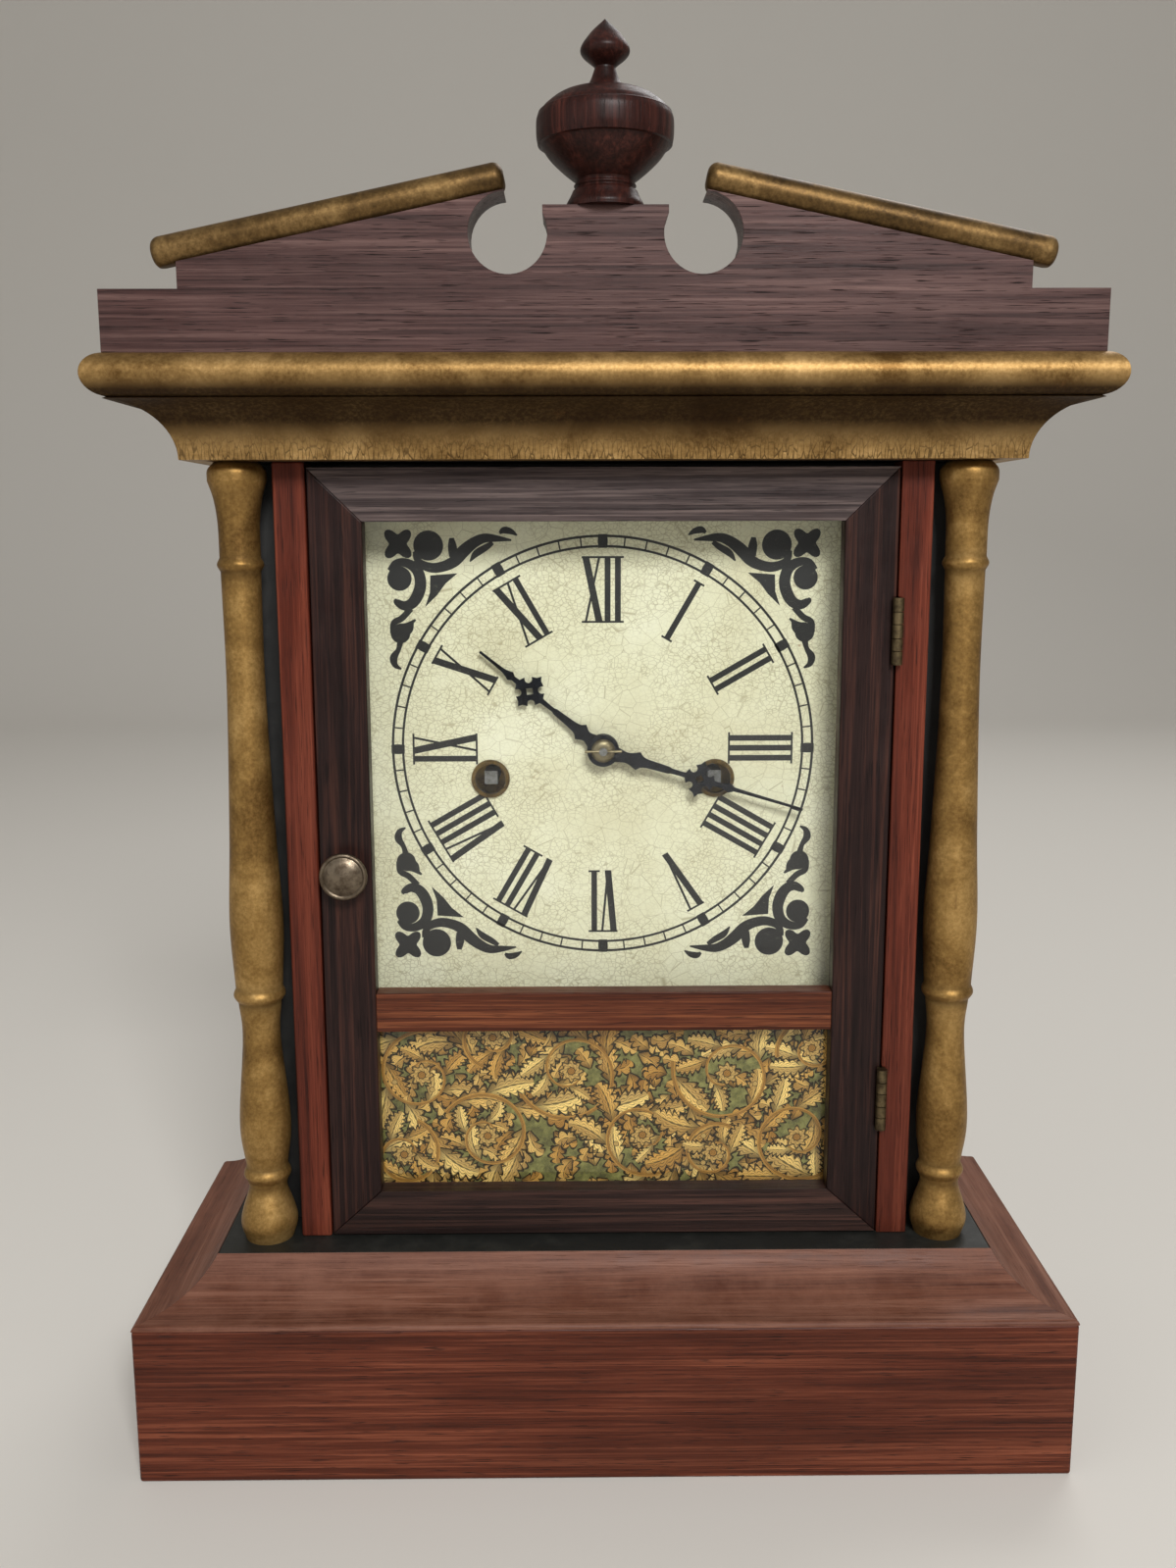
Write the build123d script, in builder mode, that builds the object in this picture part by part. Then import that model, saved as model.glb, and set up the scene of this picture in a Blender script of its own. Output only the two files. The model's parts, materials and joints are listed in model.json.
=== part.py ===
from build123d import *
import os
from math import asin, atan2, cos, degrees, hypot, pi, radians, sin, sqrt

# Cottage clock: a veneered case on a moulded base, two turned columns, a glazed door with
# a printed tablet, a gilt cornice under a scrolled pediment, and a 30-hour striking movement.
# Millimetres. The origin is the middle of the base's footprint. The clock faces -Y, +X is
# the viewer's right and +Z is up.

# Base and plinth
BASE_WIDTH = 274.0
BASE_DEPTH = 110.0
BASE_HEIGHT = 48.0
BASE_BOARD = 24.0
COVE_INSET = 20.6
COVE_RISE = 13.3
COVE_EDGE = 1.4

# Case box and its front frame
CASE_RISE = 232.7
CASE_WALL = 9.1
BACK_BOARD = 8.0
FRAME_THICK = 6.6
FRAME_PROUD = 13.1
FRAME_REBATE = 3.8
FRAME_HEAD = 6.5
COLUMN_OUT = 10.1
COLUMN_SETBACK = 11.9

# Door
DOOR_WIDTH = 166.6
DOOR_HEIGHT = 230.3
DOOR_THICK = 12.0
DOOR_SETBACK = 30.6
DOOR_SIDE_GAP = 0.5
DOOR_FLOOR_GAP = 0.7
DOOR_STOP_GAP = 0.4
DOOR_OPENS = 150.0
STILE_WIDTH = 15.2
TOP_RAIL = 14.9
BOTTOM_RAIL = 13.9
MID_RAIL = 12.0
TABLET_SIGHT = 51.1
REBATE_WIDTH = 3.5
REBATE_DEPTH = 5.5
GLASS_THICK = 2.0
GLASS_PLAY = 0.2
PAPER_THICK = 0.4

# Door knob
KNOB_DROP = 116.0
KNOB_RADIUS = 7.0
KNOB_REACH = 8.0
KNOB_NECK = 3.2

# Butt hinges
HINGE_HEIGHT = 19.0
HINGE_RISE_LOW = 44.2
HINGE_RISE_HIGH = 185.0
HINGE_KNUCKLES = 5
KNUCKLE_RADIUS = 1.6
KNUCKLE_GAP = 0.25
PIN_RADIUS = 0.75
LEAF_THICK = 0.9
LEAF_DEPTH = 10.0
BARREL_STANDOFF = 0.1

# Cornice
CORNICE_INSET = 21.0
CORNICE_WALL = 8.0
CAVETTO = 15.0
TORUS_CENTRE = 14.0
TORUS_REACH = 19.3
TORUS_LOW = 15.5
TORUS_HEIGHT = 11.0
SOFFIT_BOARD = 7.0

# Pediment, raking rods and finial
PEDIMENT_THICK = 14.0
PEDIMENT_OVERHANG = 0.8
PEDIMENT_END_RISE = 15.8
PEDIMENT_STEP = 20.5
SCROLL_RADIUS = 10.2
SCROLL_OUT = 25.2
SCROLL_RISE = 29.5
BLOCK_HALF = 16.2
BLOCK_RISE = 36.3
ROD_RADIUS = 4.1
ROD_IN = 26.0
ROD_IN_RISE = 43.6
ROD_OUT = 117.0
ROD_OUT_RISE = 24.7
ROD_SEAT = 3.5
ROD_SETBACK = 3.6
ROD_END_ROUND = 2.6
FINIAL_DOWEL = 4.0
FINIAL_DOWEL_LENGTH = 12.0
DOWEL_PLAY = 0.05

# Dial
DIAL_CENTRE_RISE = 148.7
DIAL_THICK = 1.0
DIAL_SIDE_PLAY = 0.5
DIAL_LOW = 71.7
DIAL_HIGH = 225.7
DIAL_HOLE = 3.6
BATTEN_WIDTH = 11.8
BATTEN_THICK = 10.0
KEY_DROP = 9.1
KEY_HOLE = 5.0
GROMMET_RADIUS = 5.8
GROMMET_BORE = 4.6
GROMMET_PROUD = 0.8

# Movement plates
PLATE_THICK = 1.4
PLATE_BEHIND_DIAL = 10.4
PLATE_FROM_BACK = 7.0
PLATE_HALF = 70.0
PLATE_BELOW = 48.0
PLATE_ABOVE = 66.0
PILLAR_INSET = 6.0
PILLAR_RADIUS = 3.5
PILLAR_NECK = 2.2
PILLAR_HEAD = 2.2
STUD_RADIUS = 1.0
STUD_REACH = 4.7
POST_SIZE = 4.0
POST_REACH = 5.6
POST_RISE = 3.0
RUN_PLAY = 0.05
END_PLAY = 0.3

# Wheels and pinions, as counts and modules
GREAT_TEETH = 80
STRIKE_TEETH = 72
PIN_WHEEL_TEETH = 48
CENTRE_LEAVES = 8
GREAT_MODULE = 0.8
CENTRE_TEETH = 60
THIRD_LEAVES = 8
CENTRE_MODULE = 0.6
THIRD_TEETH = 54
ESCAPE_LEAVES = 7
THIRD_MODULE = 0.55
ESCAPE_TEETH = 30
ESCAPE_RADIUS = 13.0
ESCAPE_TOOTH = 2.0
CANNON_LEAVES = 12
MINUTE_TEETH = 36
CANNON_MODULE = 0.5
MINUTE_LEAVES = 10
HOUR_TEETH = 40
HOUR_MODULE = 0.48
RATCHET_TEETH = 16
RATCHET_RADIUS = 8.0
RATCHET_TOOTH = 1.2

# Tooth form, in modules, and shares of half a pitch
ADDENDUM = 0.85
DEDENDUM = 1.25
ROOT_SHARE = 0.46
PITCH_SHARE = 0.40
TIP_SHARE = 0.16

# Depths of the wheels between the plates: the going train from the front plate's back face,
# the great wheels and the pin wheel from the back plate's front face
CENTRE_WHEEL_BACK = 3.0
THIRD_WHEEL_BACK = 6.9
ESCAPE_WHEEL_BACK = 10.8
PIN_WHEEL_AHEAD = 18.7
GREAT_WHEEL_AHEAD = 8.6
WHEEL_THICK = 1.4
GREAT_THICK = 2.0
SPRING_FRONT = 5.6
SPRING_SIDE_PLAY = 1.3

# Arbors
GREAT_ARBOR = 2.5
KEY_SQUARE = 4.0
KEY_REACH = 9.0
ARBOR_CORE = 4.0
CENTRE_ARBOR = 1.5
HAND_SPIGOT = 1.2
TRAIN_ARBOR = 1.2
PIVOT_RADIUS = 0.8

# Mainsprings
SPRING_THICK = 0.5
SPRING_PITCH = 1.6
SPRING_HALF_TURNS = 16
SPRING_PLAY = 0.3

# Escapement and pendulum
ESCAPE_OFFSET = -15.0
ESCAPE_RISE = 33.0
VERGE_RISE = 18.0
PALLET_GAP = 1.1
ANCHOR_GAP = 2.5
ANCHOR_THICK = 1.8
PALLET_ANGLE = 45.0
CRUTCH_LENGTH = 29.0
PENDULUM_LENGTH = 163.0
ROD_WIRE = 0.8
BOB_RADIUS = 16.0
BOB_THICK = 8.0
BOB_EDGE = 0.8

# Hammer and gong
HAMMER_OUT = -14.0
HAMMER_DROP = 40.0
HAMMER_WIRE = 1.0
HAMMER_HEAD = 4.5
HAMMER_HEAD_LENGTH = 10.0
GONG_OUT = 22.0
GONG_RISE = 38.7
GONG_DEPTH = 20.0
GONG_WIRE = 1.2
GONG_FIRST = 9.0
GONG_PITCH = 5.66
GONG_HALF_TURNS = 7
GONG_BLOCK = 6.0
GONG_STRIKE_GAP = 0.8

# Hands, set at seventeen minutes past ten
HAND_THICK = 0.8
HOUR_HAND_FRONT = 2.8
MINUTE_HAND_FRONT = 5.2
HOUR_ANGLE = 308.9
MINUTE_ANGLE = 106.8
HOUR_COLLAR = 8.6
HOUR_CROSS = 28.1
HOUR_ARROW = 35.5
HOUR_LENGTH = 47.0
HOUR_STEM = 0.6
MINUTE_COLLAR = 10.9
MINUTE_CROSS = 30.2
MINUTE_ARROW = 39.5
MINUTE_LENGTH = 62.8
MINUTE_STEM = 0.75
CROSS_REACH = 5.0
CROSS_CORNER = 1.9
CROSS_WAIST = 1.7
CROSS_SCALLOP = 0.8
CROSS_WINDOW = 1.7
ARROW_HALF = 1.5
NEEDLE_HALF = 0.45
HUB_RADIUS = 4.8
PIPE_RADIUS = 2.9
PIPE_SPIGOT = 2.4
COLLET_RADIUS = 3.6
COLLET_RISE = 1.1
TAPER_PIN = 0.4
TAPER_PIN_LENGTH = 11.0

# Places that follow from the sizes
base_half = BASE_WIDTH / 2
front_y = -BASE_DEPTH / 2
back_y = BASE_DEPTH / 2
plinth_top = BASE_HEIGHT + COVE_RISE
plinth_half = base_half - COVE_INSET
plinth_front = front_y + COVE_INSET
soffit_z = plinth_top + CASE_RISE
door_face = front_y + DOOR_SETBACK
door_back = door_face + DOOR_THICK
frame_front = door_back + DOOR_STOP_GAP
frame_back = frame_front + FRAME_THICK
strip_in = DOOR_WIDTH / 2 + DOOR_SIDE_GAP
strip_out = strip_in + CASE_WALL
frame_in = strip_in - FRAME_REBATE
frame_out = strip_out + FRAME_PROUD
board_front = back_y - BACK_BOARD
column_x = strip_out + COLUMN_OUT
column_y = plinth_front + COLUMN_SETBACK
cornice_half = base_half - CORNICE_INSET
cornice_front = front_y + CORNICE_INSET
cornice_height = TORUS_LOW + TORUS_HEIGHT
cornice_top = soffit_z + cornice_height
dial_front = frame_back - DIAL_THICK
dial_z = plinth_top + DIAL_CENTRE_RISE
plate_front = frame_back + PLATE_BEHIND_DIAL
space_front = plate_front + PLATE_THICK
plate_back = board_front - PLATE_FROM_BACK
space_back = plate_back - PLATE_THICK

os.makedirs("parts", exist_ok=True)


def facing(depth):
    """Plane at this depth, parallel to the dial: its x is X, its y is Z, and it looks forward."""
    return Plane.XZ.offset(-depth)


def slab(x0, x1, y0, y1, z0, z1):
    """A rectangular board between these limits, added to the part being built."""
    with Locations(((x0 + x1) / 2, (y0 + y1) / 2, (z0 + z1) / 2)):
        Box(abs(x1 - x0), abs(y1 - y0), abs(z1 - z0))


def round_bar(radius, depth0, depth1, x, z, mode=Mode.ADD):
    """A cylinder along Y from depth0 to depth1, centred on (x, z)."""
    with BuildSketch(facing(depth1)) as section:
        with Locations((x, z)):
            Circle(radius)
    extrude(section.sketch, amount=depth1 - depth0, mode=mode)


# Base: three boards under a mitred cove, and the black plinth board inside it
with BuildPart() as base_front:
    slab(-base_half, base_half, front_y, front_y + BASE_BOARD, 0, BASE_HEIGHT)
base_front.part.label = "base_front"
export_step(base_front.part, "parts/base_front.step")

for side, name in ((-1, "left"), (1, "right")):
    with BuildPart() as base_side:
        slab(side * (base_half - BASE_BOARD), side * base_half, front_y + BASE_BOARD, back_y, 0, BASE_HEIGHT)
    base_side.part.label = f"base_side_{name}"
    export_step(base_side.part, f"parts/base_side_{name}.step")

with BuildPart() as plinth_board:
    slab(-plinth_half, plinth_half, plinth_front, back_y, BASE_HEIGHT, plinth_top)
plinth_board.part.label = "plinth_board"
export_step(plinth_board.part, "parts/plinth_board.step")


def cove_points(edge, inward):
    """Key points of the cove's section: foot, inner foot, inner top, mid sweep, lip and bulge."""
    run = COVE_INSET - COVE_EDGE
    rise = COVE_RISE - COVE_EDGE
    sweep_radius = (run * run + rise * rise) / (2 * rise)
    half_turn = atan2(run, sweep_radius - rise) / 2
    lip = (edge + inward * COVE_EDGE, BASE_HEIGHT + COVE_EDGE)
    middle = (
        lip[0] + inward * sweep_radius * sin(half_turn),
        lip[1] + sweep_radius * (1 - cos(half_turn)),
    )
    inner = edge + inward * COVE_INSET
    bulge = COVE_EDGE * (1 - sqrt(0.5))
    return (
        (edge, BASE_HEIGHT),
        (inner, BASE_HEIGHT),
        (inner, plinth_top),
        middle,
        lip,
        (edge + inward * bulge, lip[1] - bulge),
    )


def mitre(half, front, side):
    """Upright plane through a front corner at 45 degrees, looking out and back."""
    return Plane(origin=(side * half, front, 0), z_dir=(side, 1, 0))


with BuildPart() as cove_front:
    with BuildSketch(Plane.YZ):
        with BuildLine():
            foot, inner_foot, inner_top, middle, lip, bulge = cove_points(front_y, 1)
            Polyline(foot, inner_foot, inner_top)
            ThreePointArc(inner_top, middle, lip)
            ThreePointArc(lip, bulge, foot)
        make_face()
    extrude(amount=base_half, both=True)
    for side in (-1, 1):
        split(bisect_by=mitre(base_half, front_y, side), keep=Keep.BOTTOM)
cove_front.part.label = "cove_front"
export_step(cove_front.part, "parts/cove_front.step")

for side, name in ((-1, "left"), (1, "right")):
    with BuildPart() as cove_side:
        with BuildSketch(facing(back_y)):
            with BuildLine():
                foot, inner_foot, inner_top, middle, lip, bulge = cove_points(side * base_half, -side)
                Polyline(foot, inner_foot, inner_top)
                ThreePointArc(inner_top, middle, lip)
                ThreePointArc(lip, bulge, foot)
            make_face()
        extrude(amount=BASE_DEPTH)
        split(bisect_by=mitre(base_half, front_y, side), keep=Keep.TOP)
    cove_side.part.label = f"cove_{name}"
    export_step(cove_side.part, f"parts/cove_{name}.step")

# Case box: two sides, a back, and the black frame that the door shuts against
for side, name in ((-1, "left"), (1, "right")):
    with BuildPart() as case_side:
        slab(side * strip_in, side * strip_out, frame_back, board_front, plinth_top, soffit_z)
    case_side.part.label = f"case_side_{name}"
    export_step(case_side.part, f"parts/case_side_{name}.step")

with BuildPart() as case_back:
    slab(-strip_out, strip_out, board_front, back_y, plinth_top, soffit_z)
case_back.part.label = "case_back"
export_step(case_back.part, "parts/case_back.step")

with BuildPart() as front_frame:
    for side in (-1, 1):
        slab(side * frame_in, side * frame_out, frame_front, frame_back, plinth_top, soffit_z)
    slab(-frame_in, frame_in, frame_front, frame_back, soffit_z - FRAME_HEAD, soffit_z)
front_frame.part.label = "front_frame"
export_step(front_frame.part, "parts/front_frame.step")

# The hinges stand on the joint between the door's right edge and the right strip
door_bottom = plinth_top + DOOR_FLOOR_GAP
door_top = door_bottom + DOOR_HEIGHT
door_half = DOOR_WIDTH / 2
hinge_x = door_half + DOOR_SIDE_GAP / 2
hinge_y = door_face - KNUCKLE_RADIUS - BARREL_STANDOFF
hinge_floors = (plinth_top + HINGE_RISE_LOW - HINGE_HEIGHT / 2, plinth_top + HINGE_RISE_HIGH - HINGE_HEIGHT / 2)

for side, name in ((-1, "left"), (1, "right")):
    with BuildPart() as strip:
        slab(side * strip_in, side * strip_out, door_face, frame_front, plinth_top, soffit_z)
        if side > 0:
            for floor in hinge_floors:
                with Locations((strip_in + LEAF_THICK / 2, door_face + LEAF_DEPTH / 2, floor + HINGE_HEIGHT / 2)):
                    Box(LEAF_THICK, LEAF_DEPTH, HINGE_HEIGHT, mode=Mode.SUBTRACT)
    strip.part.label = f"strip_{name}"
    export_step(strip.part, f"parts/strip_{name}.step")

# Turned columns: (radius, height above the plinth) along the outline
FOOT = [(7.2, 0.0), (8.55, 4.9), (7.75, 9.6), (5.8, 15.7), (6.0, 18.3)]
FOOT_RING = [(6.0, 18.3), (7.1, 20.7), (6.15, 23.1)]
LOWER_SWELL = [(6.15, 23.1), (7.6, 37.4), (5.6, 63.8), (6.3, 75.2)]
MIDDLE_RING = [(6.3, 75.2), (7.6, 77.4), (6.9, 79.6)]
UPPER_TAPER = [(6.9, 79.6), (7.8, 100.0), (6.65, 126.8), (5.45, 169.6), (5.6, 202.2)]
UPPER_RING = [(5.6, 202.2), (6.55, 204.2), (5.75, 206.2)]
NECK = [(5.75, 206.2), (5.85, 215.7), (6.7, 222.5), (8.2, 227.4)]
CAP = [(8.2, 227.4), (8.0, 230.4), (6.0, CASE_RISE)]

for side, name in ((-1, "left"), (1, "right")):
    stand = Plane(origin=(side * column_x, column_y, plinth_top), x_dir=(1, 0, 0), z_dir=(0, -1, 0))
    with BuildPart() as column:
        with BuildSketch(stand):
            with BuildLine():
                Line((0, 0), FOOT[0])
                Spline(*FOOT)
                ThreePointArc(*FOOT_RING)
                Spline(*LOWER_SWELL)
                ThreePointArc(*MIDDLE_RING)
                Spline(*UPPER_TAPER)
                ThreePointArc(*UPPER_RING)
                Spline(*NECK)
                ThreePointArc(*CAP)
                Line(CAP[-1], (0, CASE_RISE))
                Line((0, CASE_RISE), (0, 0))
            make_face()
        revolve(axis=Axis((side * column_x, column_y, 0), (0, 0, 1)))
    column.part.label = f"column_{name}"
    export_step(column.part, f"parts/column_{name}.step")

# Cornice: cavetto and torus in three mitred lengths round a soffit board
with BuildPart() as soffit_board:
    slab(
        CORNICE_WALL - cornice_half,
        cornice_half - CORNICE_WALL,
        cornice_front + CORNICE_WALL,
        back_y,
        soffit_z,
        soffit_z + SOFFIT_BOARD,
    )
soffit_board.part.label = "soffit_board"
export_step(soffit_board.part, "parts/soffit_board.step")


def cornice_points(foot, outward):
    """Key points of the cornice's section: the cavetto's arc, the torus's arc and the back."""
    lean = CAVETTO * (1 - sqrt(0.5))
    torus_z = soffit_z + TORUS_LOW
    torus_x = foot + outward * TORUS_CENTRE
    inner = foot - outward * CORNICE_WALL
    cavetto = (
        (foot, soffit_z),
        (foot + outward * lean, soffit_z + CAVETTO - lean),
        (foot + outward * CAVETTO, soffit_z + CAVETTO),
    )
    torus = (
        (torus_x, torus_z),
        (foot + outward * TORUS_REACH, torus_z + TORUS_HEIGHT / 2),
        (torus_x, cornice_top),
    )
    return cavetto, torus, ((inner, cornice_top), (inner, soffit_z))


with BuildPart() as cornice_long:
    with BuildSketch(Plane.YZ):
        with BuildLine():
            cavetto, torus, back = cornice_points(cornice_front, -1)
            ThreePointArc(*cavetto)
            Line(cavetto[-1], torus[0])
            ThreePointArc(*torus)
            Polyline(torus[-1], *back, cavetto[0])
        make_face()
    extrude(amount=cornice_half + 2 * TORUS_REACH, both=True)
    for side in (-1, 1):
        split(bisect_by=mitre(cornice_half, cornice_front, side), keep=Keep.BOTTOM)
cornice_long.part.label = "cornice_front"
export_step(cornice_long.part, "parts/cornice_front.step")

for side, name in ((-1, "left"), (1, "right")):
    with BuildPart() as cornice_side:
        with BuildSketch(facing(back_y)):
            with BuildLine():
                cavetto, torus, back = cornice_points(side * cornice_half, side)
                ThreePointArc(*cavetto)
                Line(cavetto[-1], torus[0])
                ThreePointArc(*torus)
                Polyline(torus[-1], *back, cavetto[0])
            make_face()
        extrude(amount=back_y - cornice_front + 2 * TORUS_REACH)
        split(bisect_by=mitre(cornice_half, cornice_front, side), keep=Keep.TOP)
    cornice_side.part.label = f"cornice_{name}"
    export_step(cornice_side.part, f"parts/cornice_{name}.step")

# Pediment: a board with a step at each end, two scroll notches and a centre block
pediment_front = cornice_front - TORUS_CENTRE
pediment_back = pediment_front + PEDIMENT_THICK
pediment_half = cornice_half + TORUS_CENTRE + PEDIMENT_OVERHANG
rod_slope = atan2(ROD_IN_RISE - ROD_OUT_RISE, ROD_OUT - ROD_IN)
rod_y = pediment_front + ROD_SETBACK


def rake(x):
    """Height of the pediment's sloping edge at this distance from the middle."""
    axis_z = cornice_top + ROD_IN_RISE - (x - ROD_IN) * (ROD_IN_RISE - ROD_OUT_RISE) / (ROD_OUT - ROD_IN)
    return axis_z - ROD_SEAT / cos(rod_slope)


step_x = pediment_half - PEDIMENT_STEP
half_outline = [
    (pediment_half, cornice_top),
    (pediment_half, cornice_top + PEDIMENT_END_RISE),
    (step_x, cornice_top + PEDIMENT_END_RISE),
    (step_x, rake(step_x)),
    (ROD_IN, rake(ROD_IN)),
    (ROD_IN, cornice_top + SCROLL_RISE),
    (BLOCK_HALF, cornice_top + SCROLL_RISE),
    (BLOCK_HALF, cornice_top + BLOCK_RISE),
]
finial_y = (pediment_front + pediment_back) / 2
finial_z = cornice_top + BLOCK_RISE

with BuildPart() as pediment_board:
    with BuildSketch(facing(pediment_back)):
        Polygon(*half_outline, *[(-x, z) for x, z in reversed(half_outline)], align=None)
        with Locations((-SCROLL_OUT, cornice_top + SCROLL_RISE), (SCROLL_OUT, cornice_top + SCROLL_RISE)):
            Circle(SCROLL_RADIUS, mode=Mode.SUBTRACT)
    extrude(amount=PEDIMENT_THICK)
    with Locations((0, finial_y, finial_z - FINIAL_DOWEL_LENGTH / 2)):
        Cylinder(FINIAL_DOWEL + DOWEL_PLAY, FINIAL_DOWEL_LENGTH, mode=Mode.SUBTRACT)
pediment_board.part.label = "pediment_board"
export_step(pediment_board.part, "parts/pediment_board.step")

# Gilt raking rods, flat underneath where they are glued to the sloping edge
rod_length = hypot(ROD_OUT - ROD_IN, ROD_IN_RISE - ROD_OUT_RISE)
for side, name in ((-1, "left"), (1, "right")):
    along = (-side * cos(rod_slope), 0, sin(rod_slope))
    upward = (side * sin(rod_slope), 0, cos(rod_slope))
    start = (side * ROD_OUT, rod_y, cornice_top + ROD_OUT_RISE)
    with BuildPart() as gilt_rod:
        with BuildSketch(Plane(origin=start, x_dir=(0, 1, 0), z_dir=along)):
            Circle(ROD_RADIUS)
        extrude(amount=rod_length)
        fillet(gilt_rod.edges().filter_by(GeomType.CIRCLE), radius=ROD_END_ROUND)
        seat = [start[axis] - upward[axis] * ROD_SEAT for axis in range(3)]
        split(bisect_by=Plane(origin=seat, z_dir=upward), keep=Keep.TOP)
    gilt_rod.part.label = f"gilt_rod_{name}"
    export_step(gilt_rod.part, f"parts/gilt_rod_{name}.step")

# Finial: (radius, height above the block) along the outline
FINIAL_FOOT = [(10.6, 0.0), (10.5, 1.5), (8.9, 3.9)]
FINIAL_RINGS = [(8.9, 3.9), (8.3, 4.4), (7.9, 5.8), (8.5, 7.0), (8.0, 7.6)]
FINIAL_BOWL = [(8.0, 7.6), (9.4, 9.6), (12.8, 12.8), (17.4, 16.6)]
FINIAL_BAND = [(17.4, 16.6), (18.3, 21.0), (17.6, 23.6)]
FINIAL_DOME = [(16.8, 24.0), (15.6, 26.4), (10.5, 28.9), (5.0, 29.9)]
FINIAL_SPIRE = (2.7, 34.3)
FINIAL_BUD = [(2.7, 34.6), (6.5, 38.0), (4.4, 42.2), (0.0, 46.2)]

with BuildPart() as finial:
    with BuildSketch(Plane(origin=(0, finial_y, finial_z), x_dir=(1, 0, 0), z_dir=(0, -1, 0))):
        with BuildLine():
            Line((0, 0), FINIAL_FOOT[0])
            Polyline(*FINIAL_FOOT)
            Polyline(*FINIAL_RINGS)
            Spline(*FINIAL_BOWL)
            ThreePointArc(*FINIAL_BAND)
            Line(FINIAL_BAND[-1], FINIAL_DOME[0])
            Spline(*FINIAL_DOME)
            Line(FINIAL_DOME[-1], FINIAL_SPIRE)
            Line(FINIAL_SPIRE, FINIAL_BUD[0])
            Spline(*FINIAL_BUD)
            Line(FINIAL_BUD[-1], (0, 0))
        make_face()
    revolve(axis=Axis((0, finial_y, 0), (0, 0, 1)))
    with Locations((0, finial_y, finial_z - FINIAL_DOWEL_LENGTH / 2)):
        Cylinder(FINIAL_DOWEL, FINIAL_DOWEL_LENGTH)
finial.part.label = "finial"
export_step(finial.part, "parts/finial.step")

# Door: mitred stiles and rails, a middle rail, and rebates behind both openings
sight_half = door_half - STILE_WIDTH
tablet_low = door_bottom + BOTTOM_RAIL
tablet_high = tablet_low + TABLET_SIGHT
dial_low = tablet_high + MID_RAIL
dial_high = door_top - TOP_RAIL
glass_front = door_back - REBATE_DEPTH


def cut_rebates():
    """Cuts the steps that hold the two panes into the member being built."""
    for low, high in ((tablet_low, tablet_high), (dial_low, dial_high)):
        with Locations((0, (glass_front + door_back) / 2, (low + high) / 2)):
            Box(
                2 * (sight_half + REBATE_WIDTH),
                REBATE_DEPTH,
                high - low + 2 * REBATE_WIDTH,
                mode=Mode.SUBTRACT,
            )


for side, name in ((-1, "left"), (1, "right")):
    with BuildPart() as stile:
        with BuildSketch(facing(door_back)):
            Polygon(
                (side * door_half, door_bottom),
                (side * sight_half, tablet_low),
                (side * sight_half, dial_high),
                (side * door_half, door_top),
                align=None,
            )
        extrude(amount=DOOR_THICK)
        cut_rebates()
        if side > 0:
            for floor in hinge_floors:
                with Locations((door_half - LEAF_THICK / 2, door_face + LEAF_DEPTH / 2, floor + HINGE_HEIGHT / 2)):
                    Box(LEAF_THICK, LEAF_DEPTH, HINGE_HEIGHT, mode=Mode.SUBTRACT)
    stile.part.label = f"door_stile_{name}"
    export_step(stile.part, f"parts/door_stile_{name}.step")

rails = (
    ("bottom", door_half, door_bottom, sight_half, tablet_low),
    ("mid", sight_half, tablet_high, sight_half, dial_low),
    ("top", door_half, door_top, sight_half, dial_high),
)
for name, half0, z0, half1, z1 in rails:
    with BuildPart() as rail:
        with BuildSketch(facing(door_back)):
            Polygon((-half0, z0), (half0, z0), (half1, z1), (-half1, z1), align=None)
        extrude(amount=DOOR_THICK)
        cut_rebates()
    rail.part.label = f"door_{name}_rail"
    export_step(rail.part, f"parts/door_{name}_rail.step")

# Panes and the printed paper behind the lower one
pane_half = sight_half + REBATE_WIDTH - GLASS_PLAY
pane_reach = REBATE_WIDTH - GLASS_PLAY
for name, low, high in (("dial", dial_low, dial_high), ("tablet", tablet_low, tablet_high)):
    with BuildPart() as pane:
        slab(-pane_half, pane_half, glass_front, glass_front + GLASS_THICK, low - pane_reach, high + pane_reach)
    pane.part.label = f"{name}_glass"
    export_step(pane.part, f"parts/{name}_glass.step")

paper_front = glass_front + GLASS_THICK
with BuildPart() as tablet_print:
    slab(
        -pane_half,
        pane_half,
        paper_front,
        paper_front + PAPER_THICK,
        tablet_low - pane_reach,
        tablet_high + pane_reach,
    )
tablet_print.part.label = "tablet_print"
export_step(tablet_print.part, "parts/tablet_print.step")

# Knob on the left stile: a neck, and a dished head with a rolled rim
knob_x = STILE_WIDTH / 2 - door_half
knob_z = door_top - KNOB_DROP
dish = KNOB_RADIUS - 1.3
dome_rise = KNOB_REACH - 6.2
dome_radius = (dish**2 + dome_rise**2) / (2 * dome_rise)
with BuildPart() as door_knob:
    with BuildSketch(Plane(origin=(knob_x, door_face, knob_z), x_dir=(1, 0, 0), z_dir=(0, 0, 1))):
        with BuildLine():
            Polyline((0, 0), (KNOB_NECK + 1.6, 0), (KNOB_NECK + 1.2, -0.9), (KNOB_NECK, -1.6))
            ThreePointArc((KNOB_NECK, -1.6), (KNOB_NECK + 0.7, -3.6), (KNOB_RADIUS - 0.6, -5.0))
            ThreePointArc((KNOB_RADIUS - 0.6, -5.0), (KNOB_RADIUS, -5.8), (KNOB_RADIUS - 0.8, -6.6))
            Line((KNOB_RADIUS - 0.8, -6.6), (dish, -6.2))
            JernArc((0, -KNOB_REACH), (1, 0), dome_radius, degrees(asin(dish / dome_radius)))
            Line((0, -KNOB_REACH), (0, 0))
        make_face()
    revolve(axis=Axis((knob_x, door_face, knob_z), (0, 1, 0)))
door_knob.part.label = "door_knob"
export_step(door_knob.part, "parts/door_knob.step")

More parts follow.
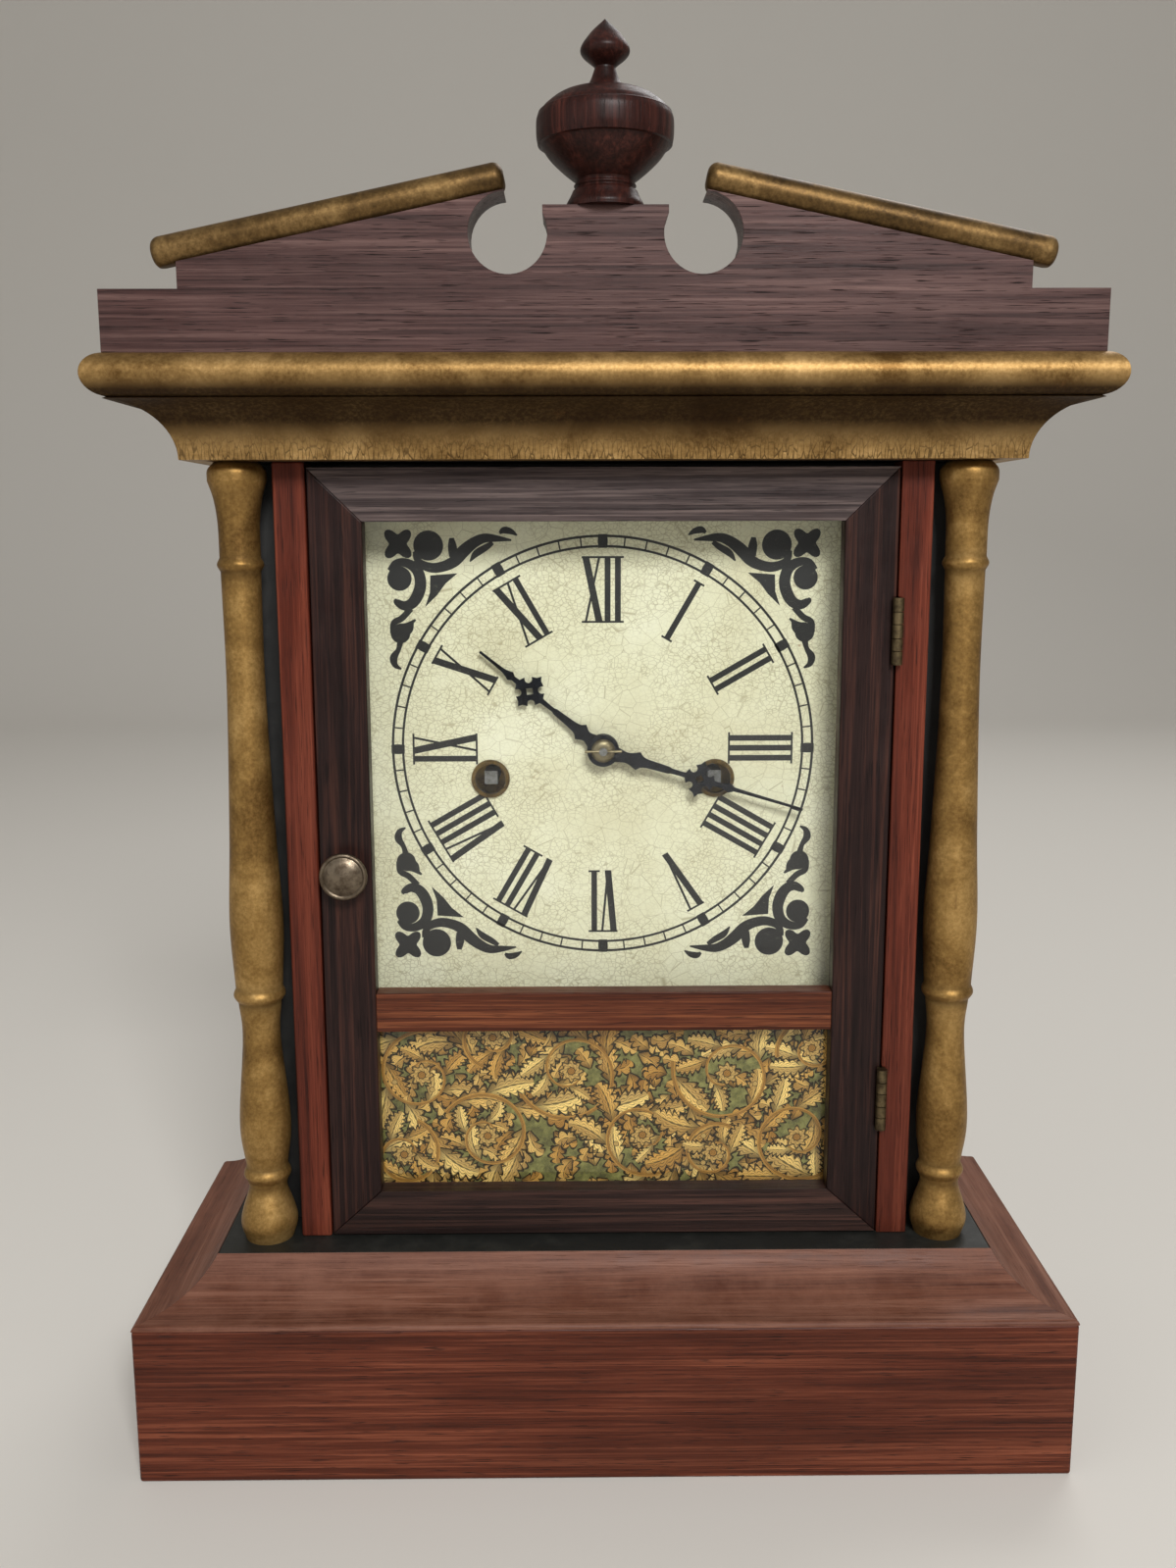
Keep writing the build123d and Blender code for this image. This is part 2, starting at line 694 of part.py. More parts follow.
# Butt hinges: leaves let into the edges, knuckles shared out along one pin each
knuckle_height = HINGE_HEIGHT / HINGE_KNUCKLES


def hinge_half(floor, leaf_x0, leaf_x1, first, gap):
    """One leaf and every second knuckle of a hinge, starting with the given knuckle."""
    slab(leaf_x0, leaf_x1, door_face, door_face + LEAF_DEPTH, floor, floor + HINGE_HEIGHT)
    for index in range(first, HINGE_KNUCKLES, 2):
        low = floor + index * knuckle_height + gap
        tall = knuckle_height - 2 * gap
        with Locations((hinge_x, hinge_y, low + tall / 2)):
            Cylinder(KNUCKLE_RADIUS, tall)
        slab(leaf_x0, leaf_x1, hinge_y, door_face, low, low + tall)


with BuildPart() as hinge_case_leaves:
    for floor in hinge_floors:
        hinge_half(floor, strip_in, strip_in + LEAF_THICK, 0, 0)
        with Locations((hinge_x, hinge_y, floor + HINGE_HEIGHT / 2)):
            Cylinder(PIN_RADIUS, HINGE_HEIGHT)
hinge_case_leaves.part.label = "hinge_case_leaves"
export_step(hinge_case_leaves.part, "parts/hinge_case_leaves.step")

with BuildPart() as hinge_door_leaves:
    for floor in hinge_floors:
        hinge_half(floor, door_half - LEAF_THICK, door_half, 1, KNUCKLE_GAP)
        with Locations((hinge_x, hinge_y, floor + HINGE_HEIGHT / 2)):
            Cylinder(PIN_RADIUS + RUN_PLAY, HINGE_HEIGHT, mode=Mode.SUBTRACT)
hinge_door_leaves.part.label = "hinge_door_leaves"
export_step(hinge_door_leaves.part, "parts/hinge_door_leaves.step")

# Dial plate between the frame's edges, on two battens, with eyelets round the key holes
dial_half = frame_in - DIAL_SIDE_PLAY
centre_distance = GREAT_MODULE * (GREAT_TEETH + CENTRE_LEAVES) / 2
key_z = dial_z - KEY_DROP
key_spread = sqrt(centre_distance**2 - KEY_DROP**2)
with BuildPart() as dial_plate:
    with BuildSketch(facing(frame_back)):
        with Locations((0, plinth_top + (DIAL_LOW + DIAL_HIGH) / 2)):
            Rectangle(2 * dial_half, DIAL_HIGH - DIAL_LOW)
        with Locations((0, dial_z)):
            Circle(DIAL_HOLE, mode=Mode.SUBTRACT)
        with Locations((-key_spread, key_z), (key_spread, key_z)):
            Circle(KEY_HOLE, mode=Mode.SUBTRACT)
    extrude(amount=DIAL_THICK)
dial_plate.part.label = "dial_plate"
export_step(dial_plate.part, "parts/dial_plate.step")

with BuildPart() as dial_battens:
    for side in (-1, 1):
        slab(
            side * (strip_in - BATTEN_WIDTH),
            side * strip_in,
            frame_back,
            frame_back + BATTEN_THICK,
            plinth_top + DIAL_LOW,
            plinth_top + DIAL_HIGH,
        )
dial_battens.part.label = "dial_battens"
export_step(dial_battens.part, "parts/dial_battens.step")

with BuildPart() as key_grommets:
    for side in (-1, 1):
        round_bar(GROMMET_RADIUS, dial_front - GROMMET_PROUD, dial_front, side * key_spread, key_z)
        round_bar(KEY_HOLE - RUN_PLAY, dial_front, frame_back + END_PLAY, side * key_spread, key_z)
        round_bar(
            GROMMET_BORE,
            dial_front - GROMMET_PROUD,
            frame_back + END_PLAY,
            side * key_spread,
            key_z,
            mode=Mode.SUBTRACT,
        )
key_grommets.part.label = "key_grommets"
export_step(key_grommets.part, "parts/key_grommets.step")


def apex(a, b, from_a, from_b, turn):
    """Point at these distances from a and b, on the left of a to b when turn is 1."""
    span = hypot(b[0] - a[0], b[1] - a[1])
    along = (from_a**2 - from_b**2 + span**2) / (2 * span)
    off = turn * sqrt(from_a**2 - along**2)
    ux, uz = (b[0] - a[0]) / span, (b[1] - a[1]) / span
    return (a[0] + along * ux - off * uz, a[1] + along * uz + off * ux)


def heading(a, b):
    """Angle of the line from a to b, in radians from +X towards +Z."""
    return atan2(b[1] - a[1], b[0] - a[0])


# Arbor places, as (X, Z)
time_key = (key_spread, key_z)
strike_key = (-key_spread, key_z)
centre = (0.0, dial_z)
escape = (ESCAPE_OFFSET, dial_z + ESCAPE_RISE)
verge_pivot = (ESCAPE_OFFSET, dial_z + ESCAPE_RISE + VERGE_RISE)
third = apex(
    centre,
    escape,
    CENTRE_MODULE * (CENTRE_TEETH + THIRD_LEAVES) / 2,
    THIRD_MODULE * (THIRD_TEETH + ESCAPE_LEAVES) / 2,
    -1,
)
PIN_WHEEL_LEAN = radians(95.0)
strike_distance = GREAT_MODULE * (STRIKE_TEETH + CENTRE_LEAVES) / 2
pin_arbor = (
    strike_key[0] + strike_distance * cos(PIN_WHEEL_LEAN),
    strike_key[1] + strike_distance * sin(PIN_WHEEL_LEAN),
)
motion_distance = CANNON_MODULE * (CANNON_LEAVES + MINUTE_TEETH) / 2
minute_stud = (motion_distance, dial_z)
hammer_arbor = (HAMMER_OUT, dial_z - HAMMER_DROP)

# Movement plates on four pillars, which stand on the back board
plate_low = dial_z - PLATE_BELOW
plate_high = dial_z + PLATE_ABOVE
pillars = [
    (side * (PLATE_HALF - PILLAR_INSET), z)
    for side in (-1, 1)
    for z in (plate_low + PILLAR_INSET, plate_high - PILLAR_INSET)
]
train_pivots = [third, escape, pin_arbor, hammer_arbor]


def bored_plate(depth, key_bore, centre_bore, verge_bore):
    """Adds a movement plate with its front face at this depth, bored for every arbor."""
    with BuildSketch(facing(depth + PLATE_THICK)) as sheet:
        with Locations((0, (plate_low + plate_high) / 2)):
            Rectangle(2 * PLATE_HALF, plate_high - plate_low)
        with Locations(*pillars):
            Circle(PILLAR_NECK + RUN_PLAY, mode=Mode.SUBTRACT)
        with Locations(*train_pivots):
            Circle(PIVOT_RADIUS + RUN_PLAY, mode=Mode.SUBTRACT)
        with Locations(time_key, strike_key):
            Circle(key_bore + RUN_PLAY, mode=Mode.SUBTRACT)
        with Locations(centre):
            Circle(centre_bore + RUN_PLAY, mode=Mode.SUBTRACT)
        with Locations(verge_pivot):
            Circle(verge_bore + RUN_PLAY, mode=Mode.SUBTRACT)
    extrude(sheet.sketch, amount=PLATE_THICK)


stud_front = plate_front - STUD_REACH
post_low = verge_pivot[1] + POST_RISE
with BuildPart() as front_plate:
    bored_plate(plate_front, GREAT_ARBOR, CENTRE_ARBOR, TRAIN_ARBOR)
    round_bar(STUD_RADIUS, stud_front, plate_front, *minute_stud)
    slab(
        ESCAPE_OFFSET - POST_SIZE / 2,
        ESCAPE_OFFSET + POST_SIZE / 2,
        plate_front - POST_REACH,
        plate_front,
        post_low,
        post_low + POST_SIZE,
    )
front_plate.part.label = "front_plate"
export_step(front_plate.part, "parts/front_plate.step")

with BuildPart() as back_plate:
    bored_plate(space_back, PIVOT_RADIUS * 2, PIVOT_RADIUS, PIVOT_RADIUS)
back_plate.part.label = "back_plate"
export_step(back_plate.part, "parts/back_plate.step")

with BuildPart() as plate_pillars:
    for pillar in pillars:
        round_bar(PILLAR_RADIUS, plate_front - PILLAR_HEAD, plate_front, *pillar)
        round_bar(PILLAR_NECK, plate_front, board_front, *pillar)
        round_bar(PILLAR_RADIUS, space_front, space_back, *pillar)
        round_bar(PILLAR_RADIUS + 0.5, plate_back, board_front, *pillar)
plate_pillars.part.label = "plate_pillars"
export_step(plate_pillars.part, "parts/plate_pillars.step")


def tooth_points(teeth, module, centre_point, first):
    """Outline of a wheel whose first tooth points along this angle, as a list of points."""
    pitch = teeth * module / 2
    half = pi / teeth
    tip, root = pitch + ADDENDUM * module, pitch - DEDENDUM * module
    corners = (
        (root, -ROOT_SHARE),
        (pitch, -PITCH_SHARE),
        (tip, -TIP_SHARE),
        (tip, TIP_SHARE),
        (pitch, PITCH_SHARE),
        (root, ROOT_SHARE),
    )
    return [
        (
            centre_point[0] + radius * cos(first + (2 * index + share) * half),
            centre_point[1] + radius * sin(first + (2 * index + share) * half),
        )
        for index in range(teeth)
        for radius, share in corners
    ]


def saw_points(teeth, radius, depth, centre_point):
    """Outline of a saw-toothed wheel, as a list of points."""
    step = 2 * pi / teeth
    points = []
    for index in range(teeth):
        angle = index * step
        for length, turn in ((radius, angle), (radius - depth, angle + 0.12 * step)):
            points.append((centre_point[0] + length * cos(turn), centre_point[1] + length * sin(turn)))
    return points


def cut_disc(points, front, thick, bore, middle):
    """Adds a flat wheel with this outline; a bore of 0 leaves it solid."""
    with BuildSketch(facing(front + thick)) as section:
        Polygon(*points, align=None)
        if bore:
            with Locations(middle):
                Circle(bore, mode=Mode.SUBTRACT)
    extrude(section.sketch, amount=thick)


def lighten(middle, front, thick, inner, outer, spokes):
    """Cuts the openings between a wheel's spokes, as pairs of arcs joined by radial lines."""
    gap = pi / spokes
    share = 0.72
    with BuildSketch(facing(front + thick)) as openings:
        for index in range(spokes):
            turn = 2 * index * gap
            low, high = turn - share * gap, turn + share * gap
            ends = [
                (middle[0] + radius * cos(angle), middle[1] + radius * sin(angle))
                for radius, angle in (
                    (inner, low),
                    (inner, turn),
                    (inner, high),
                    (outer, high),
                    (outer, turn),
                    (outer, low),
                )
            ]
            with BuildLine():
                ThreePointArc(ends[0], ends[1], ends[2])
                Line(ends[2], ends[3])
                ThreePointArc(ends[3], ends[4], ends[5])
                Line(ends[5], ends[0])
            make_face()
    extrude(openings.sketch, amount=thick, mode=Mode.SUBTRACT)


def leaves(teeth, module, middle, partner, front, back):
    """Adds a pinion with a gap towards the wheel that it meshes with."""
    first = heading(middle, partner) + pi / teeth
    with BuildSketch(facing(back)) as section:
        Polygon(*tooth_points(teeth, module, middle, first), align=None)
    extrude(section.sketch, amount=back - front)


# Great wheels, each loose on its winding arbor between the ratchet and a collar
great_front = space_back - GREAT_WHEEL_AHEAD
great_back = great_front + GREAT_THICK
ratchet_front = great_front - END_PLAY - WHEEL_THICK
spring_front = space_front + SPRING_FRONT
spring_width = ratchet_front - SPRING_SIDE_PLAY - spring_front
for name, teeth, middle, partner in (
    ("time", GREAT_TEETH, time_key, centre),
    ("strike", STRIKE_TEETH, strike_key, pin_arbor),
):
    with BuildPart() as great_wheel:
        cut_disc(
            tooth_points(teeth, GREAT_MODULE, middle, heading(middle, partner)),
            great_front,
            GREAT_THICK,
            GREAT_ARBOR + RUN_PLAY,
            middle,
        )
        lighten(middle, great_front, GREAT_THICK, RATCHET_RADIUS + 2, teeth * GREAT_MODULE / 2 - 4, 4)
    great_wheel.part.label = f"{name}_great_wheel"
    export_step(great_wheel.part, f"parts/{name}_great_wheel.step")

    with BuildPart() as winding_arbor:
        round_bar(GREAT_ARBOR, plate_front - 0.5, great_back + END_PLAY, *middle)
        with BuildSketch(facing(plate_front - 0.5)):
            with Locations(middle):
                Rectangle(KEY_SQUARE, KEY_SQUARE)
        extrude(amount=KEY_REACH)
        round_bar(ARBOR_CORE, space_front + END_PLAY, spring_front + spring_width, *middle)
        cut_disc(
            saw_points(RATCHET_TEETH, RATCHET_RADIUS, RATCHET_TOOTH, middle),
            ratchet_front,
            WHEEL_THICK,
            0,
            middle,
        )
        round_bar(ARBOR_CORE, great_back + END_PLAY, space_back - END_PLAY, *middle)
        round_bar(PIVOT_RADIUS * 2, space_back - END_PLAY, plate_back + END_PLAY, *middle)
    winding_arbor.part.label = f"{name}_winding_arbor"
    export_step(winding_arbor.part, f"parts/{name}_winding_arbor.step")


# Mainsprings: flat strip wound in half circles about each winding arbor
with BuildPart() as mainsprings:
    for middle in (time_key, strike_key):
        inner = ARBOR_CORE + SPRING_PLAY + SPRING_THICK / 2 + SPRING_PITCH / 4
        with BuildSketch(facing(spring_front + spring_width)):
            with BuildLine():
                edges = []
                for offset in (SPRING_THICK / 2, -SPRING_THICK / 2):
                    for index in range(SPRING_HALF_TURNS):
                        radius = inner + index * SPRING_PITCH / 2
                        side = 1 if index % 2 == 0 else -1
                        arc_x = middle[0] - side * SPRING_PITCH / 4
                        points = [
                            (arc_x + side * (radius + offset), middle[1]),
                            (arc_x, middle[1] + side * (radius + offset)),
                            (arc_x - side * (radius + offset), middle[1]),
                        ]
                        ThreePointArc(*points)
                        edges.append(points)
                Line(edges[0][0], edges[SPRING_HALF_TURNS][0])
                Line(edges[SPRING_HALF_TURNS - 1][2], edges[-1][2])
            make_face()
        extrude(amount=spring_width)
mainsprings.part.label = "mainsprings"
export_step(mainsprings.part, "parts/mainsprings.step")

# Centre arbor: pinion, wheel and cannon pinion, and the spigot that carries the minute hand
hour_hand_back = dial_front - HOUR_HAND_FRONT + HAND_THICK
minute_hand_back = dial_front - MINUTE_HAND_FRONT + HAND_THICK
minute_hand_front = dial_front - MINUTE_HAND_FRONT
taper_pin_y = minute_hand_front - COLLET_RISE - TAPER_PIN / 2
spigot_front = taper_pin_y - 1.0
cannon_front = plate_front - 2.4
cannon_back = plate_front - 0.8
centre_wheel_front = space_front + CENTRE_WHEEL_BACK - WHEEL_THICK
with BuildPart() as centre_arbor:
    round_bar(CENTRE_ARBOR, minute_hand_back, space_back - END_PLAY, *centre)
    round_bar(HAND_SPIGOT, spigot_front, minute_hand_back, *centre)
    round_bar(PIVOT_RADIUS, space_back - END_PLAY, plate_back - END_PLAY, *centre)
    leaves(CANNON_LEAVES, CANNON_MODULE, centre, minute_stud, cannon_front, cannon_back)
    cut_disc(
        tooth_points(CENTRE_TEETH, CENTRE_MODULE, centre, heading(centre, third)),
        centre_wheel_front,
        WHEEL_THICK,
        0,
        centre,
    )
    lighten(centre, centre_wheel_front, WHEEL_THICK, 4.0, CENTRE_TEETH * CENTRE_MODULE / 2 - 2.5, 4)
    leaves(CENTRE_LEAVES, GREAT_MODULE, centre, time_key, great_front - 1.2, great_back + 1.2)
    with Locations((centre[0], taper_pin_y, centre[1])):
        Cylinder(TAPER_PIN, 4 * HAND_SPIGOT, rotation=(0, 90, 0), mode=Mode.SUBTRACT)
centre_arbor.part.label = "centre_arbor"
export_step(centre_arbor.part, "parts/centre_arbor.step")


def train_arbor(middle, partner, pinion_leaves, pinion_module, pinion_mid, wheel):
    """Arbor with its pivots, a pinion about this depth and an optional (outline, front, rim) wheel."""
    round_bar(TRAIN_ARBOR, space_front + END_PLAY, space_back - END_PLAY, *middle)
    for depth0, depth1 in (
        (plate_front + END_PLAY, space_front + END_PLAY),
        (space_back - END_PLAY, plate_back - END_PLAY),
    ):
        round_bar(PIVOT_RADIUS, depth0, depth1, *middle)
    leaves(pinion_leaves, pinion_module, middle, partner, pinion_mid - 1.7, pinion_mid + 1.7)
    if wheel:
        outline, front, rim = wheel
        cut_disc(outline, front, WHEEL_THICK, 0, middle)
        lighten(middle, front, WHEEL_THICK, 3.4, rim, 4)


third_wheel_front = space_front + THIRD_WHEEL_BACK - WHEEL_THICK
with BuildPart() as third_wheel:
    train_arbor(
        third,
        centre,
        THIRD_LEAVES,
        CENTRE_MODULE,
        centre_wheel_front + WHEEL_THICK / 2,
        (
            tooth_points(THIRD_TEETH, THIRD_MODULE, third, heading(third, escape)),
            third_wheel_front,
            THIRD_TEETH * THIRD_MODULE / 2 - 2.3,
        ),
    )
third_wheel.part.label = "third_wheel"
export_step(third_wheel.part, "parts/third_wheel.step")

escape_wheel_front = space_front + ESCAPE_WHEEL_BACK - WHEEL_THICK
with BuildPart() as escape_wheel:
    train_arbor(
        escape,
        third,
        ESCAPE_LEAVES,
        THIRD_MODULE,
        third_wheel_front + WHEEL_THICK / 2,
        (
            saw_points(ESCAPE_TEETH, ESCAPE_RADIUS, ESCAPE_TOOTH, escape),
            escape_wheel_front,
            ESCAPE_RADIUS - ESCAPE_TOOTH - 1.6,
        ),
    )
escape_wheel.part.label = "escape_wheel"
export_step(escape_wheel.part, "parts/escape_wheel.step")

pin_wheel_front = space_back - PIN_WHEEL_AHEAD
with BuildPart() as pin_wheel:
    train_arbor(
        pin_arbor,
        strike_key,
        CENTRE_LEAVES,
        GREAT_MODULE,
        great_front + GREAT_THICK / 2,
        (
            tooth_points(PIN_WHEEL_TEETH, THIRD_MODULE, pin_arbor, 0.0),
            pin_wheel_front,
            PIN_WHEEL_TEETH * THIRD_MODULE / 2 - 4.2,
        ),
    )
    with BuildSketch(facing(pin_wheel_front)):
        with Locations(pin_arbor):
            with PolarLocations(PIN_WHEEL_TEETH * THIRD_MODULE / 2 - 2.6, 8):
                Circle(0.5)
    extrude(amount=2.0)
pin_wheel.part.label = "pin_wheel"
export_step(pin_wheel.part, "parts/pin_wheel.step")

# Verge: an anchor over the escape wheel, and a crutch that reaches the pendulum rod
pendulum_y = plate_front - 4.0
crutch_z = verge_pivot[1] - CRUTCH_LENGTH
anchor_in = ESCAPE_RADIUS + ANCHOR_GAP
anchor_out = anchor_in + ANCHOR_THICK
with BuildPart() as verge:
    round_bar(TRAIN_ARBOR, plate_front - 2.4, space_back - END_PLAY, *verge_pivot)
    round_bar(PIVOT_RADIUS, space_back - END_PLAY, plate_back - END_PLAY, *verge_pivot)
    with BuildSketch(facing(escape_wheel_front + WHEEL_THICK)):
        with BuildLine():
            spread = radians(PALLET_ANGLE + 3)
            arcs = [
                [
                    (escape[0] + radius * sin(turn), escape[1] + radius * cos(turn))
                    for turn in (-spread, 0, spread)
                ]
                for radius in (anchor_in, anchor_out)
            ]
            ThreePointArc(*arcs[0])
            Line(arcs[0][2], arcs[1][2])
            ThreePointArc(*arcs[1])
            Line(arcs[1][0], arcs[0][0])
        make_face()
        with Locations(verge_pivot):
            Circle(2.6)
        for side in (-1, 1):
            turn = radians(side * PALLET_ANGLE)
            reach = (ESCAPE_RADIUS + PALLET_GAP + anchor_out) / 2
            with Locations(
                Location((escape[0] + reach * sin(turn), escape[1] + reach * cos(turn)), -side * PALLET_ANGLE)
            ):
                Rectangle(1.6, anchor_out - ESCAPE_RADIUS - PALLET_GAP)
    extrude(amount=WHEEL_THICK)
    slab(ESCAPE_OFFSET - 0.5, ESCAPE_OFFSET + 0.5, plate_front - 2.4, plate_front - 1.4, crutch_z, verge_pivot[1])
    with Locations((ESCAPE_OFFSET, (pendulum_y - 2 + plate_front - 1.4) / 2, crutch_z)):
        Box(4.0, plate_front - 1.4 - pendulum_y + 2, 1.2)
    with Locations((ESCAPE_OFFSET, pendulum_y, crutch_z)):
        Cylinder(ROD_WIRE + RUN_PLAY, 2.4, mode=Mode.SUBTRACT)
verge.part.label = "verge"
export_step(verge.part, "parts/verge.step")

# Pendulum: a wire hung from the post by a flat spring, with a turned bob near its foot
bob_z = verge_pivot[1] - PENDULUM_LENGTH
with BuildPart() as pendulum_rod:
    with Locations((ESCAPE_OFFSET, pendulum_y, (bob_z - BOB_RADIUS - 6 + verge_pivot[1] - 12) / 2)):
        Cylinder(ROD_WIRE, verge_pivot[1] - 12 - bob_z + BOB_RADIUS + 6)
    slab(
        ESCAPE_OFFSET - 1,
        ESCAPE_OFFSET + 1,
        pendulum_y - 0.15,
        pendulum_y + 0.15,
        verge_pivot[1] - 13,
        post_low - END_PLAY,
    )
pendulum_rod.part.label = "pendulum_rod"
export_step(pendulum_rod.part, "parts/pendulum_rod.step")

lens_rise = BOB_THICK / 2 - BOB_EDGE / 2
lens_radius = (BOB_RADIUS**2 + lens_rise**2) / (2 * lens_rise)
lens_turn = degrees(asin(BOB_RADIUS / lens_radius))
with BuildPart() as pendulum_bob:
    with BuildSketch(Plane(origin=(ESCAPE_OFFSET, pendulum_y, bob_z), x_dir=(1, 0, 0), z_dir=(0, 0, 1))):
        with BuildLine():
            Line((0, -BOB_THICK / 2), (0, BOB_THICK / 2))
            face = JernArc((0, BOB_THICK / 2), (1, 0), lens_radius, -lens_turn)
            edge = JernArc((0, -BOB_THICK / 2), (1, 0), lens_radius, lens_turn)
            Line(face @ 1, edge @ 1)
        make_face()
    revolve(axis=Axis((ESCAPE_OFFSET, pendulum_y, bob_z), (0, 1, 0)))
    with Locations((ESCAPE_OFFSET, pendulum_y, bob_z)):
        Cylinder(ROD_WIRE + RUN_PLAY, 3 * BOB_RADIUS, mode=Mode.SUBTRACT)
pendulum_bob.part.label = "pendulum_bob"
export_step(pendulum_bob.part, "parts/pendulum_bob.step")

# Motion work in front of the front plate
hour_wheel_front = plate_front - 4.1
with BuildPart() as minute_wheel:
    cut_disc(
        tooth_points(MINUTE_TEETH, CANNON_MODULE, minute_stud, heading(minute_stud, centre)),
        plate_front - 2.3,
        WHEEL_THICK,
        0,
        minute_stud,
    )
    leaves(MINUTE_LEAVES, HOUR_MODULE, minute_stud, centre, hour_wheel_front - 0.2, plate_front - 2.3)
    round_bar(STUD_RADIUS + RUN_PLAY, stud_front, plate_front, *minute_stud, mode=Mode.SUBTRACT)
minute_wheel.part.label = "minute_wheel"
export_step(minute_wheel.part, "parts/minute_wheel.step")

hour_wheel_back = cannon_front - 0.4
with BuildPart() as hour_wheel:
    cut_disc(
        tooth_points(HOUR_TEETH, HOUR_MODULE, centre, heading(centre, minute_stud)),
        hour_wheel_front,
        hour_wheel_back - hour_wheel_front,
        0,
        centre,
    )
    round_bar(PIPE_RADIUS, hour_hand_back, hour_wheel_front, *centre)
    round_bar(PIPE_SPIGOT, hour_hand_back - HAND_THICK - 0.2, hour_hand_back, *centre)
    round_bar(CENTRE_ARBOR + RUN_PLAY, hour_hand_back - 2, hour_wheel_back, *centre, mode=Mode.SUBTRACT)
hour_wheel.part.label = "hour_wheel"
export_step(hour_wheel.part, "parts/hour_wheel.step")

# Hands: hub, barbed collar, pierced cross with four scalloped arms, arrow and needle


def hand_outline(collar, cross, arrow, length, stem):
    """Outline of one hand along +y: right side up, then mirrored down."""
    right = [
        (2.2, HUB_RADIUS - 1.2),
        (2.75, collar),
        (1.35, collar + 2.6),
        (stem + 0.25, (collar + cross) / 2),
        (stem, (collar + cross) / 2 + 0.6),
        (0.7, cross - CROSS_REACH),
        (CROSS_CORNER, cross - CROSS_REACH - 0.3),
        (CROSS_CORNER, cross - CROSS_REACH + 1.3),
        (CROSS_WAIST, cross - CROSS_WAIST),
        (CROSS_REACH - 1.3, cross - CROSS_CORNER),
        (CROSS_REACH + 0.3, cross - CROSS_CORNER),
        (CROSS_REACH - CROSS_SCALLOP, cross),
        (CROSS_REACH + 0.3, cross + CROSS_CORNER),
        (CROSS_REACH - 1.3, cross + CROSS_CORNER),
        (CROSS_WAIST, cross + CROSS_WAIST),
        (CROSS_CORNER, cross + CROSS_REACH - 1.3),
        (CROSS_CORNER, cross + CROSS_REACH + 0.3),
        (0.75, cross + CROSS_REACH),
        (ARROW_HALF, arrow),
        (NEEDLE_HALF + 0.15, arrow + 3.2),
        (NEEDLE_HALF, length),
    ]
    return right + [(-x, y) for x, y in reversed(right)]


def lay_hand(back, turn, bore, outline, cross):
    """Adds a flat hand whose back face is at this depth, turned clockwise from twelve by turn degrees."""
    lie = Plane(
        origin=(centre[0], back, centre[1]),
        x_dir=(cos(radians(turn)), 0, -sin(radians(turn))),
        z_dir=(0, -1, 0),
    )
    with BuildSketch(lie) as blank:
        Polygon(*outline, align=None)
        Circle(HUB_RADIUS)
        Circle(bore, mode=Mode.SUBTRACT)
        with Locations((0, cross)):
            Rectangle(CROSS_WINDOW, CROSS_WINDOW, rotation=45, mode=Mode.SUBTRACT)
    extrude(blank.sketch, amount=HAND_THICK)


HOUR_OUTLINE = hand_outline(HOUR_COLLAR, HOUR_CROSS, HOUR_ARROW, HOUR_LENGTH, HOUR_STEM)
with BuildPart() as hour_hand:
    lay_hand(hour_hand_back, HOUR_ANGLE, PIPE_SPIGOT, HOUR_OUTLINE, HOUR_CROSS)
hour_hand.part.label = "hour_hand"
export_step(hour_hand.part, "parts/hour_hand.step")

MINUTE_OUTLINE = hand_outline(MINUTE_COLLAR, MINUTE_CROSS, MINUTE_ARROW, MINUTE_LENGTH, MINUTE_STEM)
with BuildPart() as minute_hand:
    lay_hand(minute_hand_back, MINUTE_ANGLE, HAND_SPIGOT, MINUTE_OUTLINE, MINUTE_CROSS)
minute_hand.part.label = "minute_hand"
export_step(minute_hand.part, "parts/minute_hand.step")

# Domed washer and taper pin that hold the hands on
with BuildPart() as hand_collet:
    with BuildSketch(Plane(origin=(centre[0], minute_hand_front, centre[1]), x_dir=(1, 0, 0), z_dir=(0, 0, 1))):
        with BuildLine():
            Line((HAND_SPIGOT, 0), (COLLET_RADIUS, 0))
            ThreePointArc((COLLET_RADIUS, 0), (COLLET_RADIUS - 0.8, -0.8), (HAND_SPIGOT, -COLLET_RISE))
            Line((HAND_SPIGOT, -COLLET_RISE), (HAND_SPIGOT, 0))
        make_face()
    revolve(axis=Axis((centre[0], minute_hand_front, centre[1]), (0, 1, 0)))
    with Locations((centre[0], taper_pin_y, centre[1])):
        Cylinder(TAPER_PIN, TAPER_PIN_LENGTH, rotation=(0, 90, 0))
hand_collet.part.label = "hand_collet"
export_step(hand_collet.part, "parts/hand_collet.step")

# Strike hammer on its arbor, hanging beside the gong
gong_y = board_front - GONG_DEPTH
gong_z = plinth_top + GONG_RISE
gong_left = GONG_OUT - (GONG_FIRST + (GONG_HALF_TURNS - 0.5) * GONG_PITCH / 2) - GONG_WIRE
head_x = gong_left - GONG_STRIKE_GAP - HAMMER_HEAD_LENGTH / 2
with BuildPart() as hammer:
    round_bar(TRAIN_ARBOR, space_front + END_PLAY, space_back - END_PLAY, *hammer_arbor)
    for depth0, depth1 in (
        (plate_front + END_PLAY, space_front + END_PLAY),
        (space_back - END_PLAY, plate_back - END_PLAY),
    ):
        round_bar(PIVOT_RADIUS, depth0, depth1, *hammer_arbor)
    with BuildSketch(Plane.XY.offset(hammer_arbor[1])):
        with Locations((hammer_arbor[0], gong_y)):
            Circle(HAMMER_WIRE)
    extrude(amount=gong_z - hammer_arbor[1])
    with Locations((head_x, gong_y, gong_z)):
        Cylinder(HAMMER_HEAD, HAMMER_HEAD_LENGTH, rotation=(0, 90, 0))
hammer.part.label = "hammer"
export_step(hammer.part, "parts/hammer.step")

